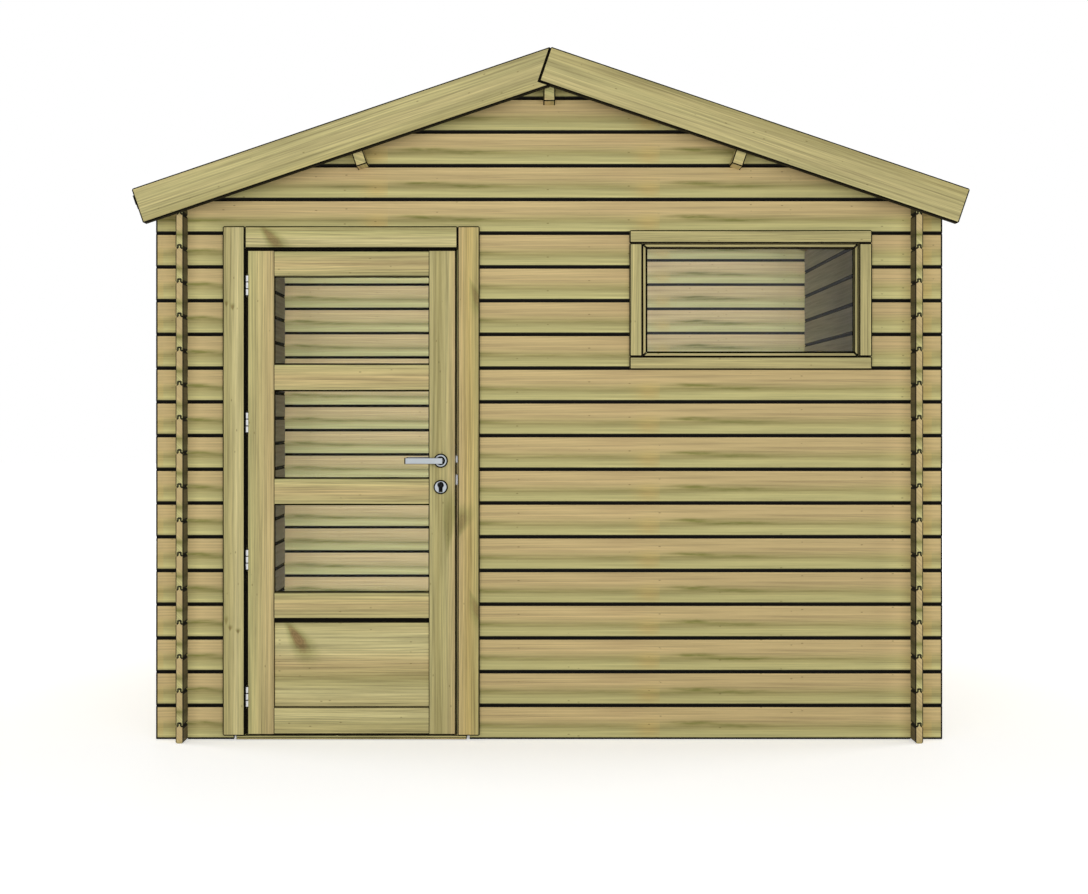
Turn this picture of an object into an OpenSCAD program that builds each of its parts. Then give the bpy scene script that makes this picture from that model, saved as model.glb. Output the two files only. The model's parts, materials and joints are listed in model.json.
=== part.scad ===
// Garden cabin of interlocking logs, with a glazed door and a fixed window.
// The origin is on the ground at the middle of the plan.  +X is right, +Y is back, +Z is up.

/* [Walls] */
// Length of the front and back walls over the side walls' outer faces
shed_w = 2800; // [2300:50:3400]
// Length of the side walls over the front and back walls' outer faces
shed_d = 2800; // [2000:50:4000]
// Height of the whole logs under the gables, rounded to full logs
wall_h = 2048; // [1920:64:2560]
// Height that one log covers
log_h = 128; // [106:2:154]
// Thickness of a log
log_t = 28; // [22:1:44]
// Length of the log ends past the crossing wall
log_overhang = 92; // [60:2:150]
// Bevel along the long edges of a log
log_bevel = 5; // [2:0.5:6]
// Width of the tongue on top of a log
tongue_w = 10; // [8:1:10]
// Height of the tongue
tongue_h = 12; // [8:1:14]

/* [Roof] */
// Slope of the roof in degrees
roof_slope = 18.75; // [15:0.25:24]
// Rise of the side walls' inner top edge above the whole front logs
eaves_rise = 46; // [30:1:90]
// Reach of the roof past the side walls
eaves_reach = 162; // [120:2:250]
// Thickness of the roof boards
deck_t = 18; // [15:1:24]
// Thickness of the roofing felt
felt_t = 3; // [2:0.5:5]
// Width of a purlin
purlin_w = 44; // [36:1:60]
// Depth of a purlin, square to the roof
purlin_h = 145; // [120:1:175]
// Distance of the side purlins from the ridge, level, at their top
purlin_x = 750; // [500:10:900]
// Width of a bargeboard, square to its slope
barge_h = 136; // [110:1:170]
// Thickness of a bargeboard
barge_t = 45; // [18:1:50]
// Stand of a bargeboard above the roof boards
barge_rise = 23; // [10:1:30]
// Distance that the bargeboards sit to the right of the ridge, seen from outside
barge_shift = 5; // [0:1:12]
// Depth of the batten under the roof boards at the eaves
eaves_board_h = 34; // [20:1:60]
// Thickness of the batten under the roof boards at the eaves
eaves_board_t = 28; // [18:1:40]

/* [Door] */
// Distance from the left corner to the door opening
door_from_left = 202; // [180:2:260]
// Width of the door leaf
leaf_w = 785; // [655:5:945]
// Height of the door leaf
leaf_h = 1833; // [1530:1:2200]
// Thickness of the door leaf
leaf_t = 40; // [36:1:50]
// Width of a stile
stile_w = 97; // [80:1:120]
// Width of the top rail
top_rail_h = 96; // [80:1:120]
// Width of the three middle rails
mid_rail_h = 99; // [80:1:120]
// Width of the bottom rail
bottom_rail_h = 101; // [80:1:140]
// Height of the wooden panel between the two lowest rails
panel_h = 337; // [280:1:400]
// Thickness of the wooden panel
panel_t = 18; // [14:1:22]
// Thickness of the glass
glass_t = 4; // [3:0.5:4.5]
// Width of the grooves that hold the panes and the panel
groove_w = 5; // [5:0.5:8]
// Depth of these grooves
groove_d = 8; // [6:1:12]
// Height of the leaf's lower edge above the ground
leaf_lift = 20.5; // [20:0.5:30]
// Gap between the leaf and the jambs
leaf_gap = 7; // [6:0.5:10]
// Gap between the leaf and the head
head_gap = 5.5; // [5:0.5:10]
// Gap between the leaf and the stops behind it
stop_gap = 5; // [5:0.5:8]
// Width of the frame members in front of the stops
frame_w = 37.5; // [30:0.5:50]
// Depth of the door frame
door_frame_d = 70; // [60:1:90]
// Lap of the stops behind the leaf
stop_lap = 13; // [10:1:20]
// Room for the logs to shrink above the door and window frames
settle_gap = 15; // [10:1:30]
// Height of the threshold
threshold_h = 15; // [12:1:15]
// Width of the door casings
door_casing_w = 83.5; // [70:0.5:110]
// Thickness of all casings
casing_t = 18; // [12:1:20]
// Visible strip of frame beside a casing
reveal = 3.5; // [2:0.5:6]
// Height of the casings' lower ends above the ground
casing_lift = 16.5; // [15.5:0.5:25]

/* [Window] */
// Distance from the right corner to the window opening
window_from_right = 185; // [160:5:400]
// Width of the window opening in the logs
window_w = 903; // [750:1:1090]
// Height of the window opening, rounded to full logs
window_h = 512; // [384:128:640]
// Width of the window frame's sides
window_jamb_w = 36; // [30:1:45]
// Height of the window frame's sill
window_sill_h = 44; // [36:1:50]
// Height of the window frame's head
window_head_h = 28; // [24:1:32]
// Depth of the window frame
window_frame_d = 90; // [60:1:110]
// Width of the window casings
window_casing_w = 49; // [44:1:70]
// Width of the glazing beads
bead_w = 16; // [10:1:20]

/* [Ironmongery] */
// Height of a hinge
hinge_h = 78; // [60:1:100]
// Distance between the hinges
hinge_pitch = 520; // [400:5:560]
// Height of the lowest hinge's middle above the leaf's lower edge
hinge_first = 142; // [80:2:180]
// Radius of a hinge knuckle
knuckle_r = 5; // [4:0.25:5.5]
// Radius of a hinge pin
pin_r = 2.5; // [1.5:0.25:3]
// Running clearance around a hinge pin
pin_clear = 0.05; // [0.02:0.01:0.1]
// Height of the lever's axis above the leaf's lower edge
lever_z = 1037; // [900:1:1100]
// Distance of the lever's axis from the leaf's closing edge
backset = 54; // [45:1:60]
// Distance from the lever's axis down to the cylinder's axis
lock_pitch = 92; // [72:1:110]
// Radius of the lever's and cylinder's roses
rose_r = 27; // [24:1:30]
// Thickness of a rose
rose_t = 8; // [5:1:10]
// Length of the lever from its axis to its tip
lever_len = 135; // [100:1:150]
// Height of the lever's flat bar
lever_h = 24; // [16:1:26]
// Thickness of the lever's flat bar
lever_t = 9; // [6:1:12]
// Room between the door's face and the lever's bar
lever_stand = 42; // [35:1:60]

/* [Hidden] */
$fn = 48;

pine = "#B9A878";
pine_dark = "#A8A069";
felt_grey = "#3E4340";
glass_blue = [0.75, 0.82, 0.85, 0.45];
steel = "#B9BEC2";

// Clearances between neighbouring pieces
log_gap = 0.4;       // between the logs of one wall
notch_gap = 0.5;     // around a log that crosses another
seat = 0.25;         // between pieces that are nailed or screwed together
slip = 0.5;          // around glass, panels and purlins in their grooves and notches
opening_gap_x = 11;  // between the door frame and the log ends
window_gap = 5;      // between the window frame and the log ends
window_settle = 10;  // above the window frame
inner_lap = 34;      // lap of the inner casings on the logs
head_lap = 20;       // least lap of the casings on the log above the door
cut = 1;             // how far a cutter runs past the face that it leaves

// Walls
half_w = shed_w / 2;
half_d = shed_d / 2;
notch_h = log_h / 4;
door_frame_top = leaf_lift + leaf_h + head_gap + frame_w;
door_rows = ceil((door_frame_top + settle_gap) / log_h);
wall_rows = max(round(wall_h / log_h), door_rows + 1);
window_rows = max(1, round(window_h / log_h));
sill_row = door_rows - window_rows;
gable_z = wall_rows * log_h;
front_len = shed_w + 2 * log_overhang;
side_len = shed_d + 2 * log_overhang;

// Roof, measured along +X from the ridge
slope_tan = tan(roof_slope);
slope_cos = cos(roof_slope);
slope_sin = sin(roof_slope);
ridge_z = gable_z + eaves_rise + (half_w - log_t) * slope_tan;
gable_rows = ceil((ridge_z - gable_z) / log_h);
side_rows = ceil((ridge_z - (half_w - log_t) * slope_tan - log_h / 2) / log_h);
barge_top_z = ridge_z + (deck_t + barge_rise) / slope_cos;
barge_len = (half_w + eaves_reach) / slope_cos;
deck_len = barge_len - 10;
gable_plane = half_d + log_overhang + notch_gap;
roof_run = 2 * gable_plane;

// Door
door_left = -half_w + door_from_left;
door_open_w = leaf_w + 2 * (leaf_gap + frame_w + opening_gap_x);
door_mid = door_left + door_open_w / 2;
door_right = door_left + door_open_w;
door_open_z = door_rows * log_h;
frame_half = leaf_w / 2 + leaf_gap + frame_w;
casing_half = leaf_w / 2 + leaf_gap + reveal;
casing_inner_z = leaf_lift + leaf_h + head_gap + reveal;
casing_head_h = max(door_casing_w, door_open_z + head_lap - casing_inner_z);
inner_casing_w = opening_gap_x + inner_lap;
inner_head_h = max(inner_casing_w, door_open_z + head_lap - door_frame_top);
leaf_x0 = door_mid - leaf_w / 2;
leaf_x1 = door_mid + leaf_w / 2;
leaf_top = leaf_lift + leaf_h;
front_y = -half_d;
leaf_mid_y = front_y + leaf_t / 2;
pane_w = leaf_w - 2 * stile_w;
pane_h = (leaf_h - bottom_rail_h - 3 * mid_rail_h - top_rail_h - panel_h) / 3;
panel_z = leaf_lift + bottom_rail_h;
panes_z = panel_z + panel_h + mid_rail_h;
pane_pitch = pane_h + mid_rail_h;

// Window
window_right = half_w - window_from_right;
window_left = window_right - window_w;
window_mid = window_right - window_w / 2;
window_z0 = sill_row * log_h;
window_z1 = door_rows * log_h;
wframe_x = window_w / 2 - window_gap;
wframe_z0 = window_z0 + seat;
wframe_z1 = window_z1 - window_settle;
sight_x = wframe_x - window_jamb_w;
sight_z0 = wframe_z0 + window_sill_h;
sight_z1 = wframe_z1 - window_head_h;
wglass_y = front_y + 18;
bead_t = 14;

// Ironmongery
hinge_x = leaf_x0 - leaf_gap / 2;
hinge_y = front_y - knuckle_r;
hinge_count = floor((leaf_h - hinge_first - hinge_h) / hinge_pitch) + 1;
hinge_plate_t = 2;
hinge_plate_d = 30;
knuckle_gap = 0.4;
knuckle_h = (hinge_h - 2 * knuckle_gap) / 3;
lever_x = leaf_x1 - backset;
lever_mid_z = leaf_lift + lever_z;
cylinder_z = lever_mid_z - lock_pitch;
spindle_r = 5;
spindle_hole_r = 5.1;
neck_r = 13;
bar_end = 11;
lock_t = 16;
lock_d = 78;
lock_h = 170;
lock_mid_z = lever_mid_z - lock_pitch / 2 - 9.5;
latch_mid_z = lever_mid_z + 6;
latch_h = 26;
bolt_mid_z = lever_mid_z - 72;
bolt_h = 38;
bolt_t = 10;
forend_t = 3;
forend_w = 20;
forend_h = 235;
cylinder_r = 8.5;
cylinder_web = 5;
cylinder_h = 33;
rose_drop = cylinder_h / 2 - cylinder_r;

// ---------------------------------------------------------------- logs

// Cross-section of a log between two heights; x is its thickness
module log_section(z0, z1, grooved = true) {
    t = log_t / 2;
    b = log_bevel;
    top = z1 - log_gap;
    tw = tongue_w / 2;
    gw = tongue_w / 2 + slip;
    gd = tongue_h + slip;
    nose = tongue_w / 4;
    groove = grooved ? [[-gw, z0], [-gw, z0 + gd], [gw, z0 + gd], [gw, z0]] : [];
    polygon(concat(
        [[-t + b, z0]], groove,
        [[t - b, z0], [t, z0 + b], [t, top - b], [t - b, top], [tw, top],
         [tw, top + tongue_h - nose], [tw - nose, top + tongue_h],
         [-tw + nose, top + tongue_h], [-tw, top + tongue_h - nose], [-tw, top],
         [-t + b, top], [-t, top - b], [-t, z0 + b]]
    ));
}

// Both notches of a log at one crossing; the log runs along x and is centred on y
module crossing_notches(x, z0, z1, bottom = true) {
    w = log_t + 2 * notch_gap;
    d = notch_h + notch_gap / 2;
    if (bottom)
        translate([x - w / 2, -log_t, z0 - cut]) cube([w, 2 * log_t, d + cut]);
    translate([x - w / 2, -log_t, z1 - d]) cube([w, 2 * log_t, d + tongue_h + cut]);
}

// One log along x from x0 to x1, centred on y, notched where walls cross it
module log_x(x0, x1, z0, z1, crossings) {
    difference() {
        translate([x0, 0, 0]) rotate([90, 0, 90])
            linear_extrude(x1 - x0) log_section(z0, z1, z0 > 0);
        for (x = crossings) crossing_notches(x, z0, z1);
    }
}

// A stack of logs of the front or back wall; rows count from 0 at the ground
module wall_stack(x0, x1, first, last, crossings, y) {
    translate([0, y, 0])
        for (row = [first:last])
            log_x(x0, x1, row * log_h, (row + 1) * log_h, crossings);
}

front_mid_y = -half_d + log_t / 2;
back_mid_y = half_d - log_t / 2;
corner_x = half_w - log_t / 2;
corner_y = half_d - log_t / 2;

module front_wall_left_logs() {
    color(pine) wall_stack(-front_len / 2, door_left, 0, door_rows - 1, [-corner_x], front_mid_y);
}

// The top log is planed flat under the window
module front_wall_lower_logs() {
    color(pine) difference() {
        wall_stack(door_right, front_len / 2, 0, sill_row - 1, [corner_x], front_mid_y);
        translate([window_left, -half_d - cut, window_z0 - log_gap])
            cube([window_w, log_t + 2 * cut, tongue_h + cut]);
    }
}

module front_wall_pier_logs() {
    color(pine) wall_stack(door_right, window_left, sill_row, door_rows - 1, [], front_mid_y);
}

module front_wall_end_logs() {
    color(pine)
        wall_stack(window_right, front_len / 2, sill_row, door_rows - 1, [corner_x], front_mid_y);
}

module back_wall_logs() {
    color(pine)
        wall_stack(-front_len / 2, front_len / 2, 0, door_rows - 1, [-corner_x, corner_x],
                   back_mid_y);
}

// Room under the roof boards, seen from the front, less a seating gap
module under_roof(gap) {
    reach = half_w + log_overhang + cut;
    polygon([[-reach, 0], [reach, 0], [reach, ridge_z - gap - reach * slope_tan],
             [0, ridge_z - gap], [-reach, ridge_z - gap - reach * slope_tan]]);
}

// The logs above the openings, cut to the roof and notched around the purlins
module gable_stack(y) {
    difference() {
        intersection() {
            wall_stack(-front_len / 2, front_len / 2, door_rows, wall_rows + gable_rows - 1,
                       [-corner_x, corner_x], y);
            translate([0, y + log_t, 0]) rotate([90, 0, 0])
                linear_extrude(2 * log_t) under_roof(seat);
        }
        translate([0, y + log_t, 0]) rotate([90, 0, 0])
            linear_extrude(2 * log_t) {
                ridge_purlin_section(slip, purlin_w);
                side_purlin_section(slip);
                mirror([1, 0]) side_purlin_section(slip);
            }
    }
}

module front_gable_logs() { color(pine) gable_stack(front_mid_y); }
module back_gable_logs() { color(pine) gable_stack(back_mid_y); }

// One side wall at x; its rows sit half a log lower than the front's
module side_wall() {
    outer = side_len / 2;
    for (row = [0:side_rows]) {
        z0 = max(0, (row - 0.5) * log_h);
        z1 = (row + 0.5) * log_h;
        difference() {
            translate([corner_x, outer, 0]) rotate([90, 0, 0])
                linear_extrude(side_len) intersection() {
                    log_section(z0, z1, row > 0);
                    translate([-corner_x, 0]) under_roof(seat);
                }
            translate([corner_x, 0, 0]) rotate([0, 0, 90])
                for (y = [-corner_y, corner_y]) crossing_notches(y, z0, z1, row > 0);
        }
    }
}

module right_wall_logs() { color(pine_dark) side_wall(); }
module left_wall_logs() { color(pine_dark) mirror([1, 0, 0]) side_wall(); }

// ---------------------------------------------------------------- roof

// A section drawn from the front, run from the front gable plane to the back one
module along_roof() {
    translate([0, gable_plane, 0]) rotate([90, 0, 0]) linear_extrude(roof_run) children();
}

module ridge_purlin_section(gap, above = 0) {
    top = ridge_z - purlin_w / 2 * slope_tan;
    translate([-purlin_w / 2 - gap, top - purlin_h - gap])
        square([purlin_w + 2 * gap, purlin_h + gap + above]);
}

module side_purlin_section(gap) {
    translate([purlin_x, ridge_z - purlin_x * slope_tan]) rotate(-roof_slope)
        translate([-purlin_w / 2 - gap, -purlin_h - gap])
            square([purlin_w + 2 * gap, purlin_h + 2 * gap - (gap > 0 ? 0 : seat)]);
}

module ridge_purlin() {
    color(pine) translate([0, 0, -seat]) along_roof() ridge_purlin_section(0);
}
module right_purlin() { color(pine) along_roof() side_purlin_section(0); }
module left_purlin() { color(pine) mirror([1, 0, 0]) right_purlin(); }

// A flat layer on the right slope: n is its height square to the slope, s its reach
module slope_layer(n0, n1, s0, s1) {
    z0 = ridge_z + n0 / slope_cos;
    z1 = ridge_z + n1 / slope_cos;
    polygon([
        s0 > 0 ? slope_point(s0, n0) : [seat, z0 - seat * slope_tan],
        slope_point(s1, n0), slope_point(s1, n1),
        s0 > 0 ? slope_point(s0, n1) : [seat, z1 - seat * slope_tan]
    ]);
}

// A point s down the right slope from the ridge and n square to it
function slope_point(s, n) = [s * slope_cos + n * slope_sin, ridge_z - s * slope_sin + n * slope_cos];

module right_roof_boards() { color(pine_dark) along_roof() slope_layer(0, deck_t, 0, deck_len); }
module left_roof_boards() { mirror([1, 0, 0]) right_roof_boards(); }

module right_roof_felt() {
    color(felt_grey) along_roof()
        slope_layer(deck_t + seat, deck_t + seat + felt_t, 0, deck_len);
}
module left_roof_felt() { mirror([1, 0, 0]) right_roof_felt(); }

module right_eaves_board() {
    color(pine) along_roof()
        slope_layer(-eaves_board_h, -seat, deck_len - eaves_board_t, deck_len);
}
module left_eaves_board() { mirror([1, 0, 0]) right_eaves_board(); }

// The right bargeboard's face: square at both ends, its upper corner on the ridge
module right_barge_face() {
    translate([0, barge_top_z]) rotate(-roof_slope)
        translate([0, -barge_h]) square([barge_len, barge_h]);
}

// The left bargeboard's face: scribed around the square end of the right one
module left_barge_face() {
    joint = seat / slope_cos;
    end_low = [-barge_h * slope_sin, barge_top_z - barge_h * slope_cos];
    low_z = barge_top_z - barge_h / slope_cos;
    tip = [-barge_len * slope_cos, barge_top_z - barge_len * slope_sin];
    polygon([
        tip, [-joint, barge_top_z - joint * slope_tan],
        end_low + [-joint, -joint],
        [0, low_z - joint],
        [0, low_z - 2 * joint],
        tip + [barge_h * slope_sin, -barge_h * slope_cos]
    ]);
}

module front_bargeboard() {
    translate([barge_shift, -gable_plane, 0]) rotate([90, 0, 0]) linear_extrude(barge_t) children();
}

module front_right_bargeboard() { color(pine) front_bargeboard() right_barge_face(); }
module front_left_bargeboard() { color(pine) front_bargeboard() left_barge_face(); }
module back_left_bargeboard() { color(pine) rotate([0, 0, 180]) front_bargeboard() right_barge_face(); }
module back_right_bargeboard() { color(pine) rotate([0, 0, 180]) front_bargeboard() left_barge_face(); }

// ---------------------------------------------------------------- door frame

// Plan of the left jamb: x from the frame's outer side inwards, y from its front
module jamb_plan() {
    stop_y = leaf_t + stop_gap;
    stop_x = frame_w + leaf_gap + stop_lap;
    polygon([[0, 0], [frame_w, 0], [frame_w, stop_y], [stop_x, stop_y],
             [stop_x, door_frame_d], [0, door_frame_d]]);
}

module left_jamb() {
    top = leaf_top + head_gap - seat;
    translate([door_mid - frame_half, front_y, threshold_h + seat])
        linear_extrude(top - threshold_h - seat) jamb_plan();
}

module door_left_jamb() { color(pine) left_jamb(); }

module door_right_jamb() {
    color(pine) translate([2 * door_mid, 0, 0]) mirror([1, 0, 0]) left_jamb();
}

module door_head() {
    top = door_frame_top;
    stop_half = leaf_w / 2 - stop_lap - seat;
    color(pine) {
        translate([door_mid - frame_half, front_y, leaf_top + head_gap])
            cube([2 * frame_half, door_frame_d, frame_w]);
        translate([door_mid - stop_half, front_y + leaf_t + stop_gap, leaf_top - stop_lap])
            cube([2 * stop_half, door_frame_d - leaf_t - stop_gap, stop_lap + head_gap]);
    }
}

module door_threshold() {
    step = 4;
    color(pine_dark) translate([door_mid - frame_half, front_y, 0]) rotate([90, 0, 90])
        linear_extrude(2 * frame_half)
            polygon([[-step, 0], [door_frame_d, 0], [door_frame_d, threshold_h],
                     [0, threshold_h], [0, threshold_h / 2], [-step, threshold_h / 2]]);
}

module door_outer_casings() {
    color(pine) translate([door_mid, front_y - casing_t - seat, 0]) {
        for (side = [-1, 1])
            translate([side * (casing_half + door_casing_w / 2) - door_casing_w / 2, 0, casing_lift])
                cube([door_casing_w, casing_t, casing_inner_z + casing_head_h - casing_lift]);
        translate([-casing_half + seat, 0, casing_inner_z])
            cube([2 * (casing_half - seat), casing_t, casing_head_h]);
    }
}

module door_inner_casings() {
    w = inner_casing_w;
    inner = frame_half + seat;
    top = door_frame_top + seat;
    color(pine) translate([door_mid, front_y + log_t + seat, 0]) {
        for (side = [-1, 1])
            translate([side * (inner + w / 2) - w / 2, 0, casing_lift])
                cube([w, casing_t, top - casing_lift - seat]);
        translate([-inner - w, 0, top]) cube([2 * (inner + w), casing_t, inner_head_h]);
    }
}

// ---------------------------------------------------------------- window

// Boards around a hole that is 2 x wide, the lower and upper ones running through
module board_ring(x, z0, z1, side_w, low_h, high_h, y, depth) {
    translate([window_mid, y, 0]) {
        translate([-x - side_w, 0, z0 - low_h]) cube([2 * (x + side_w), depth, low_h]);
        translate([-x - side_w, 0, z1]) cube([2 * (x + side_w), depth, high_h]);
        for (side = [-1, 1])
            translate([side * (x + side_w / 2) - side_w / 2, 0, z0 + seat])
                cube([side_w, depth, z1 - z0 - 2 * seat]);
    }
}

module window_frame() {
    color(pine) board_ring(sight_x, sight_z0, sight_z1, window_jamb_w, window_sill_h,
                           window_head_h, front_y, window_frame_d);
}

module window_outer_casings() {
    w = window_casing_w;
    color(pine) board_ring(sight_x, sight_z0, sight_z1, w, w, w,
                           front_y - casing_t - seat, casing_t);
}

module window_inner_casings() {
    w = window_gap + inner_lap;
    color(pine) board_ring(wframe_x + seat, wframe_z0 - seat, wframe_z1 + seat, w, w, w,
                           front_y + log_t + seat, casing_t);
}

// One bead: long side outwards, ends mitred
module bead_plan(length) {
    polygon([[0, 0], [length, 0], [length - bead_w, bead_w], [bead_w, bead_w]]);
}

// Four beads around the glass, drawn from y0 to y1
module bead_ring(y0, y1) {
    x = sight_x - slip;
    z0 = sight_z0 + slip;
    z1 = sight_z1 - slip;
    w = 2 * x;
    h = z1 - z0;
    joint = 0.3;
    translate([window_mid, y1, 0]) rotate([90, 0, 0]) linear_extrude(y1 - y0) {
        translate([-x + joint, z0]) bead_plan(w - 2 * joint);
        translate([x - joint, z1]) rotate(180) bead_plan(w - 2 * joint);
        translate([x, z0 + joint]) rotate(90) bead_plan(h - 2 * joint);
        translate([-x, z1 - joint]) rotate(-90) bead_plan(h - 2 * joint);
    }
}

module window_beads() {
    color(pine_dark) {
        bead_ring(wglass_y - glass_t / 2 - seat - bead_t, wglass_y - glass_t / 2 - seat);
        bead_ring(wglass_y + glass_t / 2 + seat, wglass_y + glass_t / 2 + seat + bead_t);
    }
}

module window_glass() {
    x = sight_x - 2 * slip;
    z0 = sight_z0 + 2 * slip;
    z1 = sight_z1 - 2 * slip;
    color(glass_blue) translate([window_mid - x, wglass_y - glass_t / 2, z0])
        cube([2 * x, glass_t, z1 - z0]);
}

// ---------------------------------------------------------------- door leaf

module door_stiles() {
    g = groove_w / 2;
    color(pine)
        for (side = [-1, 1])
            translate([door_mid + side * leaf_w / 2, front_y, leaf_lift]) mirror([side < 0 ? 0 : 1, 0, 0])
                difference() {
                    linear_extrude(leaf_h)
                        polygon([[0, 0], [stile_w, 0], [stile_w, leaf_t / 2 - g],
                                 [stile_w - groove_d, leaf_t / 2 - g],
                                 [stile_w - groove_d, leaf_t / 2 + g],
                                 [stile_w, leaf_t / 2 + g], [stile_w, leaf_t], [0, leaf_t]]);
                    if (side > 0) lock_mortice();
                }
}

// Room in the closing stile for the lock, its spindle and its cylinder; x from the leaf's edge
module lock_mortice() {
    z = -leaf_lift;
    translate([-cut, (leaf_t - forend_w) / 2 - slip, lock_mid_z - forend_h / 2 - slip + z])
        cube([forend_t + seat + cut, forend_w + 2 * slip, forend_h + 2 * slip]);
    translate([-cut, (leaf_t - lock_t) / 2 - slip, lock_mid_z - lock_h / 2 - slip + z])
        cube([lock_d + slip + cut, lock_t + 2 * slip, lock_h + 2 * slip]);
    translate([backset, -cut, lever_mid_z + z]) rotate([-90, 0, 0])
        cylinder(r = spindle_r + 3, h = leaf_t + 2 * cut);
    translate([backset, -cut, cylinder_z + z]) rotate([-90, 0, 0])
        cylinder(r = cylinder_r + 2, h = leaf_t + 2 * cut);
    translate([backset - cylinder_web - 1, -cut, cylinder_z - cylinder_h + cylinder_r + z])
        cube([2 * cylinder_web + 2, leaf_t + 2 * cut, cylinder_h - cylinder_r]);
}

// Section of a rail from its lower edge; grooves below and above as asked
module rail_section(h, below, above) {
    g = groove_w / 2;
    m = leaf_t / 2;
    low = below ? [[m - g, 0], [m - g, groove_d], [m + g, groove_d], [m + g, 0]] : [];
    high = above ? [[m + g, h], [m + g, h - groove_d], [m - g, h - groove_d], [m - g, h]] : [];
    polygon(concat([[0, 0]], low, [[leaf_t, 0], [leaf_t, h]], high, [[0, h]]));
}

module rail(z, h, below, above) {
    translate([leaf_x0 + stile_w + seat, front_y, z]) rotate([90, 0, 90])
        linear_extrude(pane_w - 2 * seat) rail_section(h, below, above);
}

module door_rails() {
    color(pine) {
        rail(leaf_lift, bottom_rail_h, false, true);
        for (i = [0:2]) rail(panes_z - mid_rail_h + i * pane_pitch, mid_rail_h, true, true);
        rail(leaf_top - top_rail_h, top_rail_h, true, false);
    }
}

module door_panel() {
    lap = groove_d - slip;
    tongue_t = groove_w - 2 * slip;
    color(pine_dark) translate([door_mid, leaf_mid_y, panel_z]) {
        translate([-pane_w / 2 + slip, -panel_t / 2, slip])
            cube([pane_w - 2 * slip, panel_t, panel_h - 2 * slip]);
        translate([-pane_w / 2 - lap, -tongue_t / 2, -lap])
            cube([pane_w + 2 * lap, tongue_t, panel_h + 2 * lap]);
    }
}

module door_glass() {
    lap = groove_d - 2 * slip;
    color(glass_blue)
        for (i = [0:2])
            translate([door_mid - pane_w / 2 - lap, leaf_mid_y - glass_t / 2,
                       panes_z + i * pane_pitch - lap])
                cube([pane_w + 2 * lap, glass_t, pane_h + 2 * lap]);
}

// ---------------------------------------------------------------- hinges

module each_hinge() {
    for (i = [0:hinge_count - 1])
        translate([hinge_x, hinge_y, leaf_lift + hinge_first - hinge_h / 2 + i * hinge_pitch])
            children();
}

// A hinge leaf with its knuckles; side -1 is on the jamb, 1 on the door
module hinge_leaf(side, first_knuckles) {
    plate_x = side > 0 ? leaf_gap / 2 - hinge_plate_t : -leaf_gap / 2;
    difference() {
        union() {
            translate([plate_x, knuckle_r - 3, 0]) cube([hinge_plate_t, hinge_plate_d, hinge_h]);
            for (k = first_knuckles) {
                z = k * (knuckle_h + knuckle_gap);
                translate([0, 0, z]) cylinder(r = knuckle_r, h = knuckle_h);
                translate([min(0, plate_x), 0, z])
                    cube([max(abs(plate_x), abs(plate_x + hinge_plate_t)), knuckle_r - 1, knuckle_h]);
            }
        }
        translate([0, 0, -cut]) cylinder(r = pin_r + pin_clear, h = hinge_h + 2 * cut);
        for (k = [0:2])
            if (len(search(k, first_knuckles)) == 0)
                translate([0, 0, k * (knuckle_h + knuckle_gap) - knuckle_gap])
                    cylinder(r = knuckle_r + knuckle_gap, h = knuckle_h + 2 * knuckle_gap);
    }
}

module hinge_jamb_leaves() { color(steel) each_hinge() hinge_leaf(-1, [0, 2]); }
module hinge_door_leaves() { color(steel) each_hinge() hinge_leaf(1, [1]); }

module hinge_pins() {
    head = 2;
    color(steel) each_hinge() {
        translate([0, 0, -head]) cylinder(r = pin_r, h = hinge_h + 2 * head);
        for (z = [-head - seat, hinge_h + seat])
            translate([0, 0, z]) cylinder(r = knuckle_r - 1, h = head);
    }
}

// ---------------------------------------------------------------- lock

// Plate on the jamb, with a hole for each bolt and a lip folded over the jamb's front edge
module strike_plate() {
    t = hinge_plate_t;
    x = leaf_x1 + leaf_gap - t;
    lip_w = t + reveal - 2 * seat;
    fold_t = 1.5;
    hole_t = bolt_t + 3;
    color(steel) difference() {
        union() {
            translate([x, leaf_mid_y - forend_w / 2, lock_mid_z - forend_h / 2])
                cube([t, forend_w, forend_h]);
            for (b = [[latch_mid_z, latch_h], [bolt_mid_z, bolt_h]]) {
                translate([x, front_y - fold_t, b[0] - b[1] / 2])
                    cube([t - seat, leaf_t / 2 + fold_t, b[1]]);
                translate([x, front_y - fold_t - seat, b[0] - b[1] / 2])
                    cube([lip_w, fold_t, b[1]]);
            }
        }
        for (b = [[latch_mid_z, latch_h], [bolt_mid_z, bolt_h]])
            translate([x - cut, leaf_mid_y - hole_t / 2, b[0] - b[1] / 2])
                cube([t + 2 * cut, hole_t, b[1]]);
    }
}

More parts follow.
